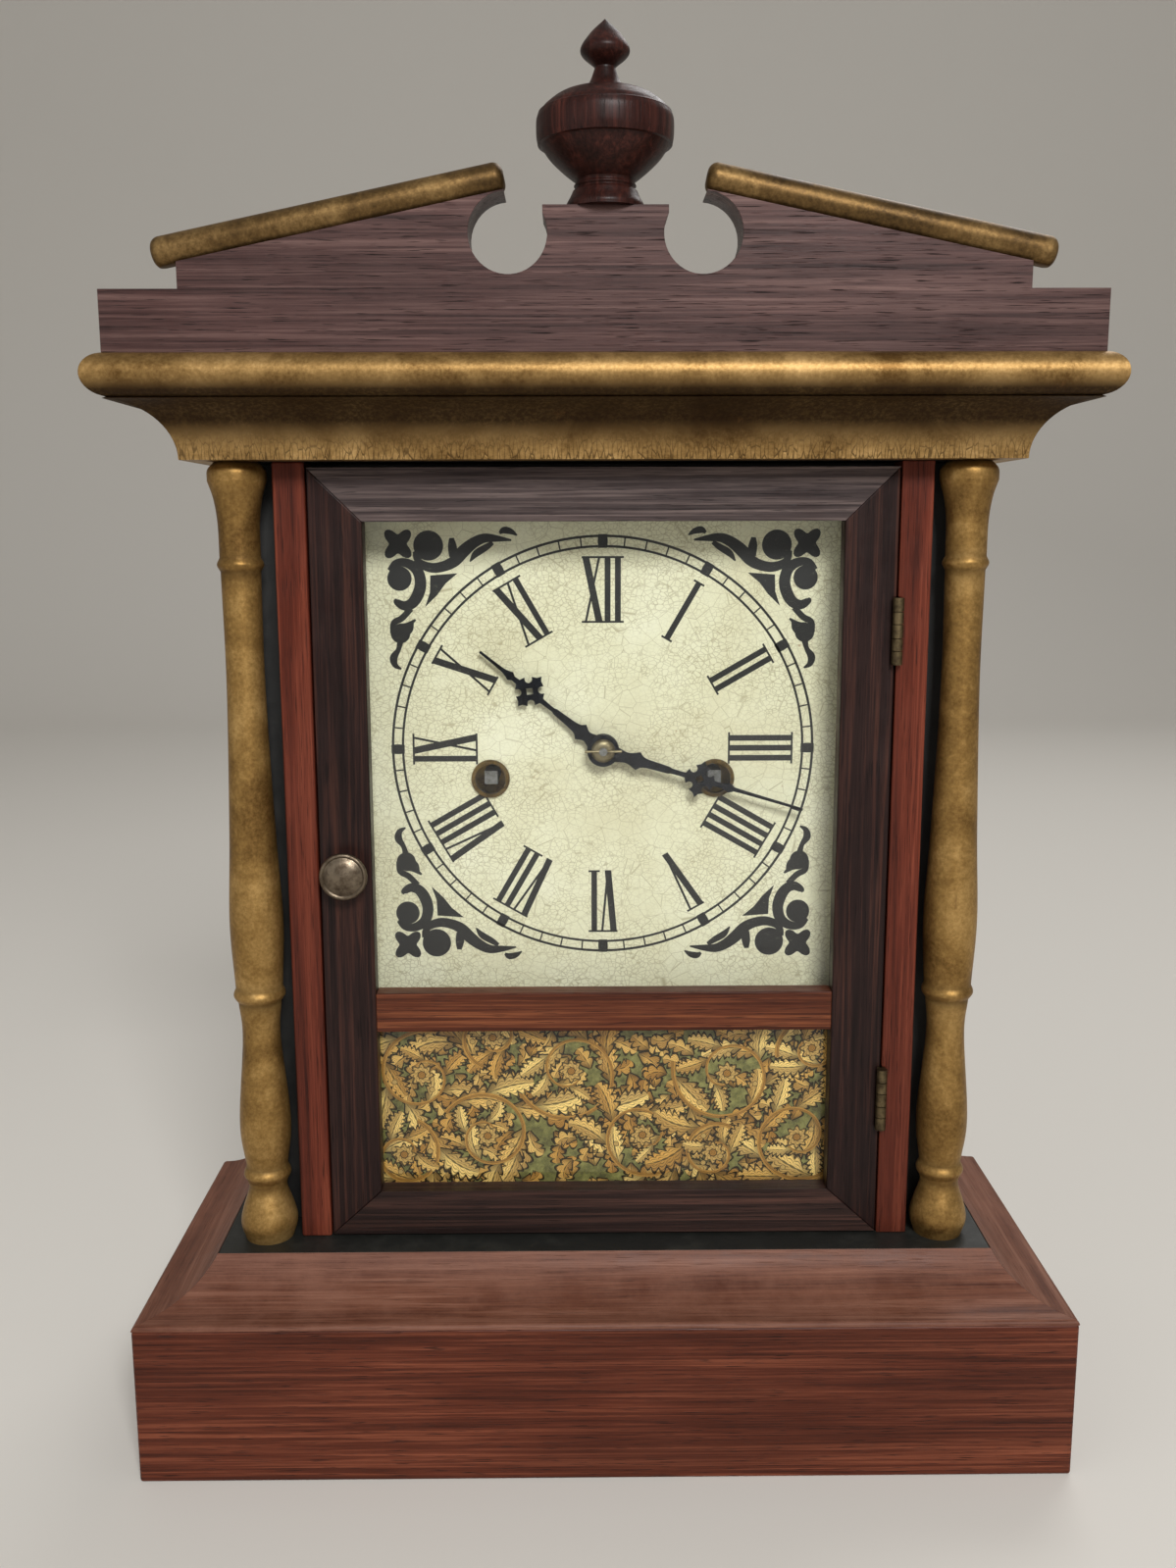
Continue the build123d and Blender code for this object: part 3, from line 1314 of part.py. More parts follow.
# Gong: a wire spiral of half circles, its inner end held in a turned block on the back board
with BuildPart() as gong:
    with BuildLine() as gong_path:
        for index in range(GONG_HALF_TURNS):
            ring = GONG_FIRST + index * GONG_PITCH / 2
            side = 1 if index % 2 == 0 else -1
            arc_x = GONG_OUT - side * GONG_PITCH / 4
            ThreePointArc(
                (arc_x + side * ring, gong_y, gong_z),
                (arc_x, gong_y, gong_z + side * ring),
                (arc_x - side * ring, gong_y, gong_z),
            )
    with BuildSketch(Plane(gong_path.line @ 0, z_dir=gong_path.line % 0)):
        Circle(GONG_WIRE)
    sweep()
gong.part.label = "gong"
export_step(gong.part, "parts/gong.step")

gong_start = GONG_OUT + GONG_FIRST - GONG_PITCH / 4
with BuildPart() as gong_block:
    round_bar(GONG_BLOCK, gong_y - 3, board_front, GONG_OUT, gong_z)
    slab(GONG_OUT, gong_start + GONG_WIRE + 1, gong_y - 3, gong_y + 3, gong_z - 6, gong_z)
gong_block.part.label = "gong_block"
export_step(gong_block.part, "parts/gong_block.step")
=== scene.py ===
"""Cottage clock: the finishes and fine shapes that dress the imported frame.

Sizes are in millimetres, as in the part's source, and become metres where a mesh is made.
"""

import json
import logging
from collections.abc import Iterator, Sequence
from contextlib import contextmanager
from dataclasses import dataclass, field, replace
from enum import Enum
from functools import lru_cache
from math import cos, pi, radians, sin

import bmesh
import bpy
import numpy as np
from mathutils import Matrix
from mathutils.geometry import tessellate_polygon

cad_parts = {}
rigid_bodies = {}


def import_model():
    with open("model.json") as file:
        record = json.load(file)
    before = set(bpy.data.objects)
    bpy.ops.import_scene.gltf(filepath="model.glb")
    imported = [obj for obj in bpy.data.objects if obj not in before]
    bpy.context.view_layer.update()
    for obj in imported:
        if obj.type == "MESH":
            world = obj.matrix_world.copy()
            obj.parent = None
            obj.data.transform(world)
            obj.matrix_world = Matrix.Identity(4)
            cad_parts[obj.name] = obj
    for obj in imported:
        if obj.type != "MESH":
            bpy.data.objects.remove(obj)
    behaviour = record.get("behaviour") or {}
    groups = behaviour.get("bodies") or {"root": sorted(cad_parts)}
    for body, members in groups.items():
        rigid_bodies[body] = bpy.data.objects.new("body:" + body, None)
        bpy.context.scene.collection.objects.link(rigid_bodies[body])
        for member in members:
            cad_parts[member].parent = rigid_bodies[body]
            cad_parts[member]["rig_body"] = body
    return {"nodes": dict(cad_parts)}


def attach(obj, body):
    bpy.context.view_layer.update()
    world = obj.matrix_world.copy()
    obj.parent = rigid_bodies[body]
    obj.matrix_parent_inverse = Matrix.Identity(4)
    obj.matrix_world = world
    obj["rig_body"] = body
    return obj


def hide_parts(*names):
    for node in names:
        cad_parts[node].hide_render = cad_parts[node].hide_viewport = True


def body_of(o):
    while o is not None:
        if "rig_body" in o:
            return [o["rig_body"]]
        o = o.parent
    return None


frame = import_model()

LOG = logging.getLogger("cottage_clock")
MM = 0.001
DIAL_CENTRE = (0.0, 210.0)
# Degrees past which an edge is an arris, and metres within which two points are one
CREASE = 35.0
TINY = 1e-6

Colour = tuple[float, float, float]
Place = tuple[float, float, float]
Spot = tuple[float, float]
Socket = bpy.types.NodeSocket
Thing = bpy.types.Object


class Grain(Enum):
    """Which way the wood's fibres run, or the axis that a turned piece goes round."""

    ACROSS_FRONT = (1.0, 0.0, 0.0)
    FRONT_TO_BACK = (0.0, 1.0, 0.0)
    UPRIGHT = (0.0, 0.0, 1.0)


class Side(Enum):
    """The clock's left and right, as the viewer sees them."""

    LEFT = -1
    RIGHT = 1

    @property
    def word(self) -> str:
        """The side's name as it stands in the frame's nodes."""
        return self.name.lower()


def pair(stem: str) -> tuple[str, str]:
    """The left and right node of a stem."""
    return f"{stem}_left", f"{stem}_right"


def tint(red: float, green: float, blue: float) -> Colour:
    """Linear colour for display values of 0 to 255: v/12.92 below 0.04, ((v+0.055)/1.055)^2.4 above."""
    shown = np.array([red, green, blue]) / 255.0
    return tuple(np.where(shown <= 0.04045, shown / 12.92, ((shown + 0.055) / 1.055) ** 2.4).tolist())


class Recipe:
    """One material's node tree, with short calls for the nodes that the finishes share."""

    def __init__(self, name: str) -> None:
        """Starts an empty material.

        Args:
            name: The material's name.
        """
        self.material = bpy.data.materials.new(name)
        self.material.use_nodes = True
        self.tree = self.material.node_tree
        self.tree.nodes.clear()

    def node(self, kind: str, inputs: dict[str | int, object], **settings: object) -> bpy.types.Node:
        """Adds a node.

        Args:
            kind: Blender's name for its type.
            inputs: What goes into its sockets: another socket, a number or a colour.
            settings: Its properties by name.

        Returns:
            The node.
        """
        made = self.tree.nodes.new(kind)
        for key, value in settings.items():
            setattr(made, key, value)
        for key, value in inputs.items():
            socket = made.inputs[key]
            if isinstance(value, Socket):
                self.tree.links.new(value, socket)
            elif isinstance(value, tuple) and socket.type == "RGBA":
                socket.default_value = (*value, 1.0)
            else:
                socket.default_value = value
        return made

    def place(self, stretch: Place = (1.0, 1.0, 1.0), shift: Place = (0.0, 0.0, 0.0)) -> Socket:
        """The object's own place in millimetres, times a stretch along each axis.

        Args:
            stretch: Factor along X, Y and Z; small along the grain draws a pattern out.
            shift: Offset in stretched units, so that pieces don't repeat one another.

        Returns:
            The vector socket.
        """
        spot = self.node("ShaderNodeTexCoord", {}).outputs["Object"]
        inputs = {"Vector": spot, "Scale": tuple(s / MM for s in stretch), "Location": shift}
        return self.node("ShaderNodeMapping", inputs).outputs["Vector"]

    def noise(self, vector: Socket, scale: float, detail: float = 4.0, rough: float = 0.55,
              twist: float = 0.0) -> Socket:
        """Fractal noise from 0 to 1 at this scale."""
        inputs = {"Vector": vector, "Scale": scale, "Detail": detail, "Roughness": rough, "Distortion": twist}
        return self.node("ShaderNodeTexNoise", inputs).outputs["Fac"]

    def cracks(self, vector: Socket, width: float) -> Socket:
        """Lines of this width between random cells: 1 on a line, 0 inside a cell."""
        cells = self.node("ShaderNodeTexVoronoi", {"Vector": vector, "Scale": 1.0},
                          feature="DISTANCE_TO_EDGE")
        return self.span(cells.outputs["Distance"], 0.0, width, 1.0, 0.0)

    def span(self, value: Socket, low: float, high: float, to_low: float = 0.0,
             to_high: float = 1.0) -> Socket:
        """Carries low..high smoothly over to to_low..to_high, and clamps outside."""
        inputs = {"Value": value, "From Min": low, "From Max": high, "To Min": to_low, "To Max": to_high}
        return self.node("ShaderNodeMapRange", inputs, interpolation_type="SMOOTHSTEP").outputs["Result"]

    def maths(self, act: str, first: object, second: object = 0.0) -> Socket:
        """One of Blender's operations on two numbers."""
        return self.node("ShaderNodeMath", {0: first, 1: second}, operation=act).outputs["Value"]

    def add(self, first: object, second: object) -> Socket:
        """The sum of two numbers."""
        return self.maths("ADD", first, second)

    def less(self, first: object, second: object) -> Socket:
        """The first number less the second."""
        return self.maths("SUBTRACT", first, second)

    def times(self, first: object, second: object) -> Socket:
        """The product of two numbers."""
        return self.maths("MULTIPLY", first, second)

    def larger(self, first: object, second: object) -> Socket:
        """The larger of two numbers, which lays one mask over another."""
        return self.maths("MAXIMUM", first, second)

    def ramp(self, value: Socket, *stops: tuple[float, Colour]) -> Socket:
        """Colours along a value.

        Args:
            value: The number that picks the colour.
            stops: Pairs of a value and its colour, rising.

        Returns:
            The colour socket.
        """
        made = self.node("ShaderNodeValToRGB", {"Fac": value})
        band = made.color_ramp
        while len(band.elements) < len(stops):
            band.elements.new(0.5)
        for element, (position, colour) in zip(band.elements, stops):
            element.position = position
            element.color = (*colour, 1.0)
        return made.outputs["Color"]

    def mix(self, share: object, first: object, second: object) -> Socket:
        """Colour between first and second, by this share of second."""
        return self.node("ShaderNodeMix", {"Factor": share, 6: first, 7: second}, data_type="RGBA").outputs[2]

    def mark(self, name: str) -> Socket:
        """A number that the piece's mesh stores at each point."""
        return self.node("ShaderNodeAttribute", {}, attribute_name=name).outputs["Fac"]

    def bump(self, height: Socket, depth: float, strength: float) -> Socket:
        """A normal for relief of this depth in metres."""
        inputs = {"Height": height, "Distance": depth, "Strength": strength}
        return self.node("ShaderNodeBump", inputs).outputs["Normal"]

    def surface(self, **inputs: object) -> bpy.types.Material:
        """Closes the material with the Principled shader, whose sockets are named with _ for a space."""
        named = {key.replace("_", " "): value for key, value in inputs.items()}
        return self.close(self.node("ShaderNodeBsdfPrincipled", named).outputs["BSDF"])

    def close(self, shader: Socket) -> bpy.types.Material:
        """Joins a shader to the output and hands over the material."""
        self.node("ShaderNodeOutputMaterial", {"Surface": shader})
        return self.material


@dataclass(frozen=True)
class Coat:
    """What every finish shares: a name, and one material for all the pieces that wear it."""

    name: str

    @lru_cache(maxsize=None)
    def material(self) -> bpy.types.Material:
        """The finished material, mixed at the first call."""
        return self.mixed()

    def mixed(self) -> bpy.types.Material:
        """Each finish mixes its own."""
        raise NotImplementedError


@dataclass(frozen=True)
class Wood(Coat):
    """Veneer or turned wood under old varnish: streaks along the grain, dark pores, blotches and dust."""

    grain: Grain
    dark: Colour
    middle: Colour
    light: Colour
    streak: float = 0.16
    pores: float = 0.6
    sheen: float = 0.36
    varnish: float = 0.02
    haze: float = 0.0
    turn: Place = (0.0, 0.0, 0.0)

    def fibres(self, r: Recipe, along: float, across: float, detail: float, rough: float = 0.55,
               twist: float = 0.0) -> Socket:
        """Noise with one scale along the grain and another across it."""
        stretch = tuple(along if axis else across for axis in self.grain.value)
        return r.noise(r.place(stretch, self.turn), 1.0, detail, rough, twist)

    def mixed(self) -> bpy.types.Material:
        """Mixes the wood.

        Returns:
            Streaks of three colours, with pores and fibres in the relief.
        """
        r = Recipe(self.name)
        drift = self.fibres(r, 0.006, 0.03, 3.0)
        broad = self.fibres(r, 0.006, self.streak, 5.0, 0.62, 1.2)
        fine = self.fibres(r, 0.02, 1.3, 4.0, 0.7, 0.4)
        hair = self.fibres(r, 0.06, 5.0, 3.0, 0.75)
        vessel = self.fibres(r, 0.09, 3.0, 2.0, 0.5)
        dust = r.noise(r.place(shift=self.turn), 0.05, 6.0, 0.7)
        figure = r.add(r.times(broad, 0.62), r.times(fine, 0.38))
        pore = r.times(r.span(vessel, 0.6, 0.68), self.pores)
        colour = r.ramp(figure, (0.34, self.dark), (0.5, self.middle), (0.66, self.light))
        colour = r.mix(r.span(drift, 0.35, 0.7, 0.0, 0.45), colour, self.dark)
        colour = r.mix(pore, colour, tuple(0.25 * c for c in self.dark))
        colour = r.mix(r.span(hair, 0.5, 0.85, 0.0, 0.22), colour, self.light)
        if self.haze:
            colour = r.mix(r.times(r.span(dust, 0.3, 0.75), self.haze), colour, self.light)
        dull = r.span(dust, 0.3, 0.7, self.sheen - 0.06, self.sheen + 0.12)
        relief = r.less(r.times(hair, 0.5), pore)
        return r.surface(Base_Color=colour, Roughness=r.add(dull, r.times(pore, 0.3)),
                         Normal=r.bump(relief, 0.00012, 0.55), Coat_Weight=self.varnish, Coat_Roughness=0.25,
                         Specular_IOR_Level=0.14)


@dataclass(frozen=True)
class Gilding(Coat):
    """Old bronze gilding on turned or moulded wood: mottled gold, brown rubs, and dirt with painted shade in
    the hollows.
    """

    # Dark brown for the hollows: partly dirt, partly painted shade where the surface lies in a recess or
    # faces down
    dirt: Colour = tint(34, 20, 8)
    shade: Colour = tint(96, 70, 36)
    body: Colour = tint(138, 107, 60)
    glint: Colour = tint(184, 150, 94)
    rub: Colour = tint(96, 66, 36)
    crack: Colour = tint(58, 42, 24)
    bare_wood: tuple[Colour, Colour] = (tint(84, 58, 38), tint(128, 94, 62))
    crackle: float = 0.0

    def mixed(self) -> bpy.types.Material:
        """Mixes the gilding; the mesh's hollow mark says where dirt and painted shade darken it, its crazed
        mark where cracks do.

        Returns:
            Half-metallic paint with a brushed and pitted relief.
        """
        r = Recipe(self.name)
        plain = r.place()
        patches = r.noise(plain, 0.045, 6.0, 0.62, 0.6)
        speckle = r.noise(plain, 0.9, 5.0, 0.7)
        mottle = r.add(r.times(patches, 0.66), r.times(speckle, 0.34))
        colour = r.ramp(mottle, (0.36, self.shade), (0.5, self.body), (0.68, self.glint))
        # Painted shade with dirt: the hollow mark darkens the gold towards the dark hollow colour
        hollow = r.times(r.mark("hollow"), r.span(speckle, 0.25, 0.6, 0.75, 1.0))
        colour = r.mix(r.times(hollow, 0.95), colour, self.dirt)
        rubs = r.noise(r.place((0.12, 0.12, 0.03)), 1.0, 6.0, 0.75)
        colour = r.mix(r.span(rubs, 0.62, 0.72, 0.0, 0.5), colour, self.rub)
        relief = r.add(r.times(speckle, 0.5), r.times(r.noise(plain, 0.25, 3.0), 0.8))
        if self.crackle:
            crazed = r.mark("crazed")
            lines = r.cracks(r.place((0.85, 0.85, 0.16)), 0.09)
            lines = r.times(r.times(lines, r.span(crazed, 0.0, 1.0)), self.crackle)
            colour = r.mix(lines, colour, self.crack)
            relief = r.less(relief, lines)
            bare = r.span(crazed, -0.7, -0.3, 1.0, 0.0)
            colour = r.mix(bare, colour, r.mix(speckle, *self.bare_wood))
            hollow = r.larger(hollow, bare)
        metal = r.less(0.72, r.times(hollow, 0.68))
        dull = r.add(r.span(patches, 0.3, 0.7, 0.4, 0.52), r.times(hollow, 0.25))
        return r.surface(Base_Color=colour, Metallic=metal, Roughness=dull,
                         Normal=r.bump(relief, 0.00016, 0.6), Specular_IOR_Level=0.08)


@dataclass(frozen=True)
class Metal(Coat):
    """Plain aged metal: a base colour with tarnish and fine scratches."""

    body: Colour
    tarnish: Colour
    spread: float = 0.5
    dull: float = 0.35

    def mixed(self) -> bpy.types.Material:
        """Mixes the metal.

        Returns:
            Metal with a bloom of tarnish, which is rougher than the clean places.
        """
        r = Recipe(self.name)
        plain = r.place()
        bloom = r.noise(plain, 0.35, 6.0, 0.65)
        grit = r.noise(plain, 3.0, 3.0, 0.6)
        share = r.span(bloom, 0.62 - self.spread * 0.4, 0.72)
        dull = r.add(r.times(share, 0.2), r.span(grit, 0.3, 0.7, self.dull - 0.05, self.dull + 0.1))
        return r.surface(Base_Color=r.mix(share, self.body, self.tarnish), Metallic=1.0, Roughness=dull,
                         Normal=r.bump(r.add(grit, bloom), 0.00005, 0.5))


@dataclass(frozen=True)
class Paint(Coat):
    """Brushed paint or lacquer over wood, dull, with dust and faint brush lines along X."""

    body: Colour
    dust: Colour
    dull: float = 0.5
    dusting: float = 0.35

    def mixed(self) -> bpy.types.Material:
        """Mixes the paint.

        Returns:
            A dark coat with clouds of dust.
        """
        r = Recipe(self.name)
        lines = r.noise(r.place((0.03, 0.9, 0.9)), 1.0, 4.0, 0.7)
        cloud = r.noise(r.place(), 0.08, 6.0, 0.7)
        colour = r.mix(r.span(cloud, 0.45, 0.85, 0.0, self.dusting), self.body, self.dust)
        return r.surface(Base_Color=colour, Roughness=r.span(cloud, 0.3, 0.7, self.dull - 0.08,
                                                             self.dull + 0.12),
                         Normal=r.bump(lines, 0.0001, 0.5))


@dataclass(frozen=True)
class DialPaint(Coat):
    """Ivory dial enamel with a fine net of age cracks, grey rubs and a few rust specks."""

    name: str = "dial_enamel"
    shade: Colour = tint(219, 213, 182)
    ivory: Colour = tint(228, 224, 195)
    pale: Colour = tint(237, 234, 210)
    crack: Colour = tint(150, 136, 100)
    rust: Colour = tint(150, 104, 60)
    grime: Colour = tint(120, 118, 104)

    def mixed(self) -> bpy.types.Material:
        """Mixes the enamel.

        Returns:
            A wide and a close net of cracks over a clouded ground.
        """
        r = Recipe(self.name)
        plain = r.place()
        ground = r.ramp(r.noise(plain, 0.035, 6.0, 0.6), (0.35, self.shade), (0.52, self.ivory),
                        (0.75, self.pale))
        wide = r.cracks(r.place((0.2, 0.2, 0.24)), 0.022)
        close = r.cracks(r.place((0.62, 0.62, 0.75), (3.0, 1.0, 2.0)), 0.085)
        patchy = r.span(r.noise(plain, 0.06, 3.0), 0.36, 0.58, 0.25, 1.0)
        net = r.larger(r.times(wide, 0.6), r.times(r.times(close, patchy), 0.6))
        specks = r.span(r.noise(plain, 0.3, 2.0, 0.5), 0.74, 0.8, 0.0, 0.6)
        rubs = r.span(r.noise(r.place((0.5, 0.5, 0.03)), 1.0, 4.0, 0.7), 0.6, 0.8, 0.0, 0.12)
        colour = r.mix(specks, r.mix(net, ground, self.crack), self.rust)
        return r.surface(Base_Color=r.mix(rubs, colour, self.grime), Roughness=0.42, Specular_IOR_Level=0.4,
                         Normal=r.bump(r.less(1.0, net), 0.00006, 0.5))


@dataclass(frozen=True)
class Ink(Coat):
    """Black dial print, rubbed thin in places."""

    name: str = "dial_ink"
    body: Colour = tint(14, 13, 13)
    worn: Colour = tint(104, 100, 88)

    def mixed(self) -> bpy.types.Material:
        """Mixes the ink.

        Returns:
            Matt black with grey rubs.
        """
        r = Recipe(self.name)
        rub = r.noise(r.place((0.5, 0.5, 1.4)), 1.0, 5.0, 0.75)
        return r.surface(Base_Color=r.mix(r.span(rub, 0.6, 0.72, 0.0, 0.75), self.body, self.worn),
                         Roughness=0.55)


@dataclass(frozen=True)
class Pane(Coat):
    """Thin old glass: clear straight on, bright at a slant, with a little ripple."""

    name: str = "old_glass"
    clearness: Colour = (0.975, 0.985, 0.975)

    def mixed(self) -> bpy.types.Material:
        """Mixes the glass.

        Returns:
            A clear shader and a glossy one by Fresnel, and only the clear one on faces seen from inside.
        """
        r = Recipe(self.name)
        ripple = r.bump(r.noise(r.place(), 0.03, 2.0), 0.0004, 0.3)
        clear = r.node("ShaderNodeBsdfTransparent", {"Color": self.clearness})
        shine = r.node("ShaderNodeBsdfGlossy", {"Roughness": 0.03, "Normal": ripple})
        outside = r.less(1.0, r.node("ShaderNodeNewGeometry", {}).outputs["Backfacing"])
        share = r.times(r.node("ShaderNodeFresnel", {"IOR": 1.5}).outputs["Fac"], outside)
        inputs = {"Fac": share, 1: clear.outputs["BSDF"], 2: shine.outputs["BSDF"]}
        return r.close(r.node("ShaderNodeMixShader", inputs).outputs["Shader"])


@dataclass(frozen=True)
class Foliage(Coat):
    """Printed leaves in ochre: dark rib, slanting side veins, a shaded half and a dark outline."""

    name: str = "printed_leaves"
    deep: Colour = tint(124, 78, 28)
    middle: Colour = tint(212, 160, 78)
    pale: Colour = tint(250, 214, 132)
    line: Colour = tint(32, 23, 11)
    veins: float = 15.0
    slant: float = 3.4

    def mixed(self) -> bpy.types.Material:
        """Mixes the print; the mesh stores the place along and beside the rib, and the leaf's tone.

        Returns:
            Flat printed colour under a little varnish.
        """
        r = Recipe(self.name)
        along, beside, tone = r.mark("along"), r.mark("beside"), r.mark("tone")
        wide = r.maths("ABSOLUTE", beside)
        light = r.add(tone, r.times(r.noise(r.place(), 0.5, 4.0), 0.24))
        colour = r.ramp(light, (0.1, self.deep), (0.55, self.middle), (1.0, self.pale))
        colour = r.mix(r.span(beside, -0.05, 0.25, 0.0, 0.5), colour, self.deep)
        turns = r.less(r.times(along, self.veins), r.times(wide, self.slant))
        wave = r.maths("SINE", r.times(turns, 6.2832))
        vein = r.times(r.span(wave, 0.35, 0.9, 0.0, 0.75), r.span(wide, 0.05, 0.3))
        rib = r.span(wide, 0.05, 0.12, 0.85, 0.0)
        rim = r.span(wide, 0.8, 0.92, 0.0, 0.95)
        root = r.span(along, 0.0, 0.4, 0.75, 0.0)
        outline = r.span(tone, -0.9, -0.1, 1.0, 0.0)
        ink = r.larger(r.larger(r.larger(vein, rib), r.larger(rim, root)), outline)
        return r.surface(Base_Color=r.mix(ink, colour, self.line), Roughness=0.55, Specular_IOR_Level=0.2)


@dataclass(frozen=True)
class PaperGround(Coat):
    """The print's mottled olive ground, on paper whose back is plain."""

    name: str = "olive_ground"
    back: Colour = tint(158, 134, 98)
    back_from: float = -15.66
    back_to: float = -15.54

    def mixed(self) -> bpy.types.Material:
        """Mixes the ground.

        Returns:
            Olive clouds in front of back_from along Y, and plain paper behind back_to.
        """
        r = Recipe(self.name)
        plain = r.place()
        colour = r.ramp(r.noise(plain, 0.35, 5.0, 0.7), (0.35, tint(72, 68, 30)), (0.5, tint(108, 104, 52)),
                        (0.66, tint(140, 136, 74)))
        depth = r.node("ShaderNodeSeparateXYZ", {0: plain}).outputs["Y"]
        behind = r.span(depth, self.back_from, self.back_to)
        return r.surface(Base_Color=r.mix(behind, colour, self.back), Roughness=0.6)


class Finish:
    """The clock's finishes, one object each."""

    BASE = Wood("base_veneer", Grain.ACROSS_FRONT, tint(42, 18, 12), tint(86, 41, 27), tint(132, 74, 52),
                haze=0.04, streak=0.5, pores=0.8)
    BASE_SIDE = Wood("base_side_veneer", Grain.FRONT_TO_BACK, tint(42, 18, 12), tint(84, 40, 27),
                     tint(124, 70, 50), haze=0.06, streak=0.5)
    COVE = Wood("cove_veneer", Grain.ACROSS_FRONT, tint(66, 35, 26), tint(106, 66, 50), tint(144, 102, 84),
                haze=0.35, pores=0.4, sheen=0.46)
    COVE_SIDE = replace(COVE, name="cove_side_veneer", grain=Grain.FRONT_TO_BACK)
    PEDIMENT = Wood("pediment_wood", Grain.ACROSS_FRONT, tint(30, 18, 18), tint(84, 60, 57),
                    tint(126, 98, 92), haze=0.05, pores=1.0, streak=0.42)
    STRIP = Wood("strip_veneer", Grain.UPRIGHT, tint(46, 18, 12), tint(92, 40, 27), tint(134, 68, 48),
                 haze=0.03)
    STILE = Wood("stile_rosewood", Grain.UPRIGHT, tint(13, 7, 7), tint(38, 24, 22), tint(80, 48, 38),
                 haze=0.03, streak=0.3, sheen=0.34)
    TOP_RAIL = Wood("top_rail_rosewood", Grain.ACROSS_FRONT, tint(28, 21, 22), tint(64, 54, 53),
                    tint(108, 94, 90), haze=0.06, streak=0.45, sheen=0.34)
    LOW_RAIL = Wood("low_rail_rosewood", Grain.ACROSS_FRONT, tint(18, 11, 10), tint(43, 30, 27),
                    tint(80, 54, 46), streak=0.3, sheen=0.34, turn=(3.0, 0.0, 9.0))
    MID_RAIL = Wood("mid_rail_veneer", Grain.ACROSS_FRONT, tint(38, 16, 10), tint(86, 44, 28),
                    tint(144, 86, 54), streak=0.4, turn=(7.0, 0.0, 2.0))
    FINIAL = Wood("finial_wood", Grain.UPRIGHT, tint(20, 8, 6), tint(46, 22, 18), tint(78, 40, 32),
                  streak=0.3, varnish=0.04)
    CASE = Wood("case_side_wood", Grain.UPRIGHT, tint(46, 28, 20), tint(76, 50, 36), tint(108, 76, 54),
                haze=0.1, sheen=0.5)
    BOARD = Wood("back_board_pine", Grain.UPRIGHT, tint(92, 62, 38), tint(128, 90, 56), tint(156, 116, 76),
                 pores=0.3, sheen=0.6, varnish=0.0)
    BLACK = Paint("ebonised_wood", tint(20, 20, 19), tint(52, 50, 44))
    PLINTH = Paint("plinth_paint", tint(26, 27, 24), tint(66, 64, 56))
    GILT = Gilding("column_gilding")
    GILT_MOULD = Gilding("cornice_gilding", crackle=0.75, body=tint(142, 112, 68), glint=tint(186, 152, 100))
    GILT_ROD = Gilding("rod_gilding", shade=tint(58, 44, 27), body=tint(96, 74, 44), glint=tint(146, 118, 76))
    DIAL = DialPaint()
    INK = Ink()
    GLASS = Pane()
    LEAVES = Foliage()
    PAPER = PaperGround()
    BLUED = Metal("blued_steel", tint(34, 37, 44), tint(18, 18, 20), dull=0.38)
    BRASS = Metal("aged_brass", tint(168, 138, 78), tint(96, 74, 40))
    DARK_BRASS = Metal("dark_brass", tint(128, 104, 62), tint(60, 48, 32), spread=0.8)
    COLLET = Metal("collet_metal", tint(150, 138, 110), tint(96, 84, 60))
    HINGE = Metal("hinge_brass", tint(112, 98, 72), tint(58, 48, 36), spread=0.8, dull=0.42)
    KNOB = Metal("knob_plate", tint(122, 110, 94), tint(74, 62, 50), spread=0.75, dull=0.32)
    STEEL = Metal("steel", tint(150, 150, 150), tint(92, 88, 84))
    IRON = Metal("iron", tint(72, 70, 68), tint(44, 36, 30), spread=0.8, dull=0.5)


def smooth_through(points: Sequence[Spot], steps: int = 8) -> np.ndarray:
    """Curve through points: each span is a cubic whose end slopes come from the neighbouring points.

    Args:
        points: Places that the curve passes through.
        steps: Points made on each span.

    Returns:
        An array of as many columns as the points have, ends included.
    """
    p = np.asarray(points, float)
    ends = np.vstack([2 * p[0] - p[1], p, 2 * p[-1] - p[-2]])
    t = np.linspace(0.0, 1.0, steps, endpoint=False)[None, :, None]
    a, b, c, d = (ends[i : len(ends) - 3 + i, None, :] for i in range(4))
    spans = 0.5 * (2 * b + (c - a) * t + (2 * a - 5 * b + 4 * c - d) * t**2 + (3 * b - a - 3 * c + d) * t**3)
    return np.vstack([spans.reshape(-1, p.shape[1]), p[-1]])


def arc(centre: Spot, radius: float, start: float, stop: float, steps: int) -> np.ndarray:
    """Circle's arc from one angle to another in degrees: centre + radius * (cos, sin)."""
    turn = np.radians(np.linspace(start, stop, steps))
    return np.column_stack([centre[0] + radius * np.cos(turn), centre[1] + radius * np.sin(turn)])


def through_three(first: Spot, middle: Spot, last: Spot, steps: int) -> np.ndarray:
    """Arc through three points: the centre is equally far from all of them.

    Args:
        first: Where it starts.
        middle: A point between.
        last: Where it ends.
        steps: Points made.

    Returns:
        A (steps, 2) array.
    """
    a, b, c = (np.asarray(p, float) for p in (first, middle, last))
    centre = np.linalg.solve(2 * np.array([b - a, c - a]), np.array([b @ b - a @ a, c @ c - a @ a]))
    turn = np.unwrap([np.arctan2(*(p - centre)[::-1]) for p in (a, b, c)])
    walk = np.linspace(turn[0], turn[2], steps)
    return centre + np.linalg.norm(a - centre) * np.column_stack([np.cos(walk), np.sin(walk)])


def headings(line: np.ndarray) -> tuple[np.ndarray, np.ndarray]:
    """Unit slope and left-hand normal at each point of an (n, 2) line, from its neighbours' difference.

    Args:
        line: Places along the line.

    Returns:
        Two (n, 2) arrays.
    """
    slope = np.gradient(line, axis=0)
    slope /= np.linalg.norm(slope, axis=1)[:, None]
    return slope, np.column_stack([-slope[:, 1], slope[:, 0]])


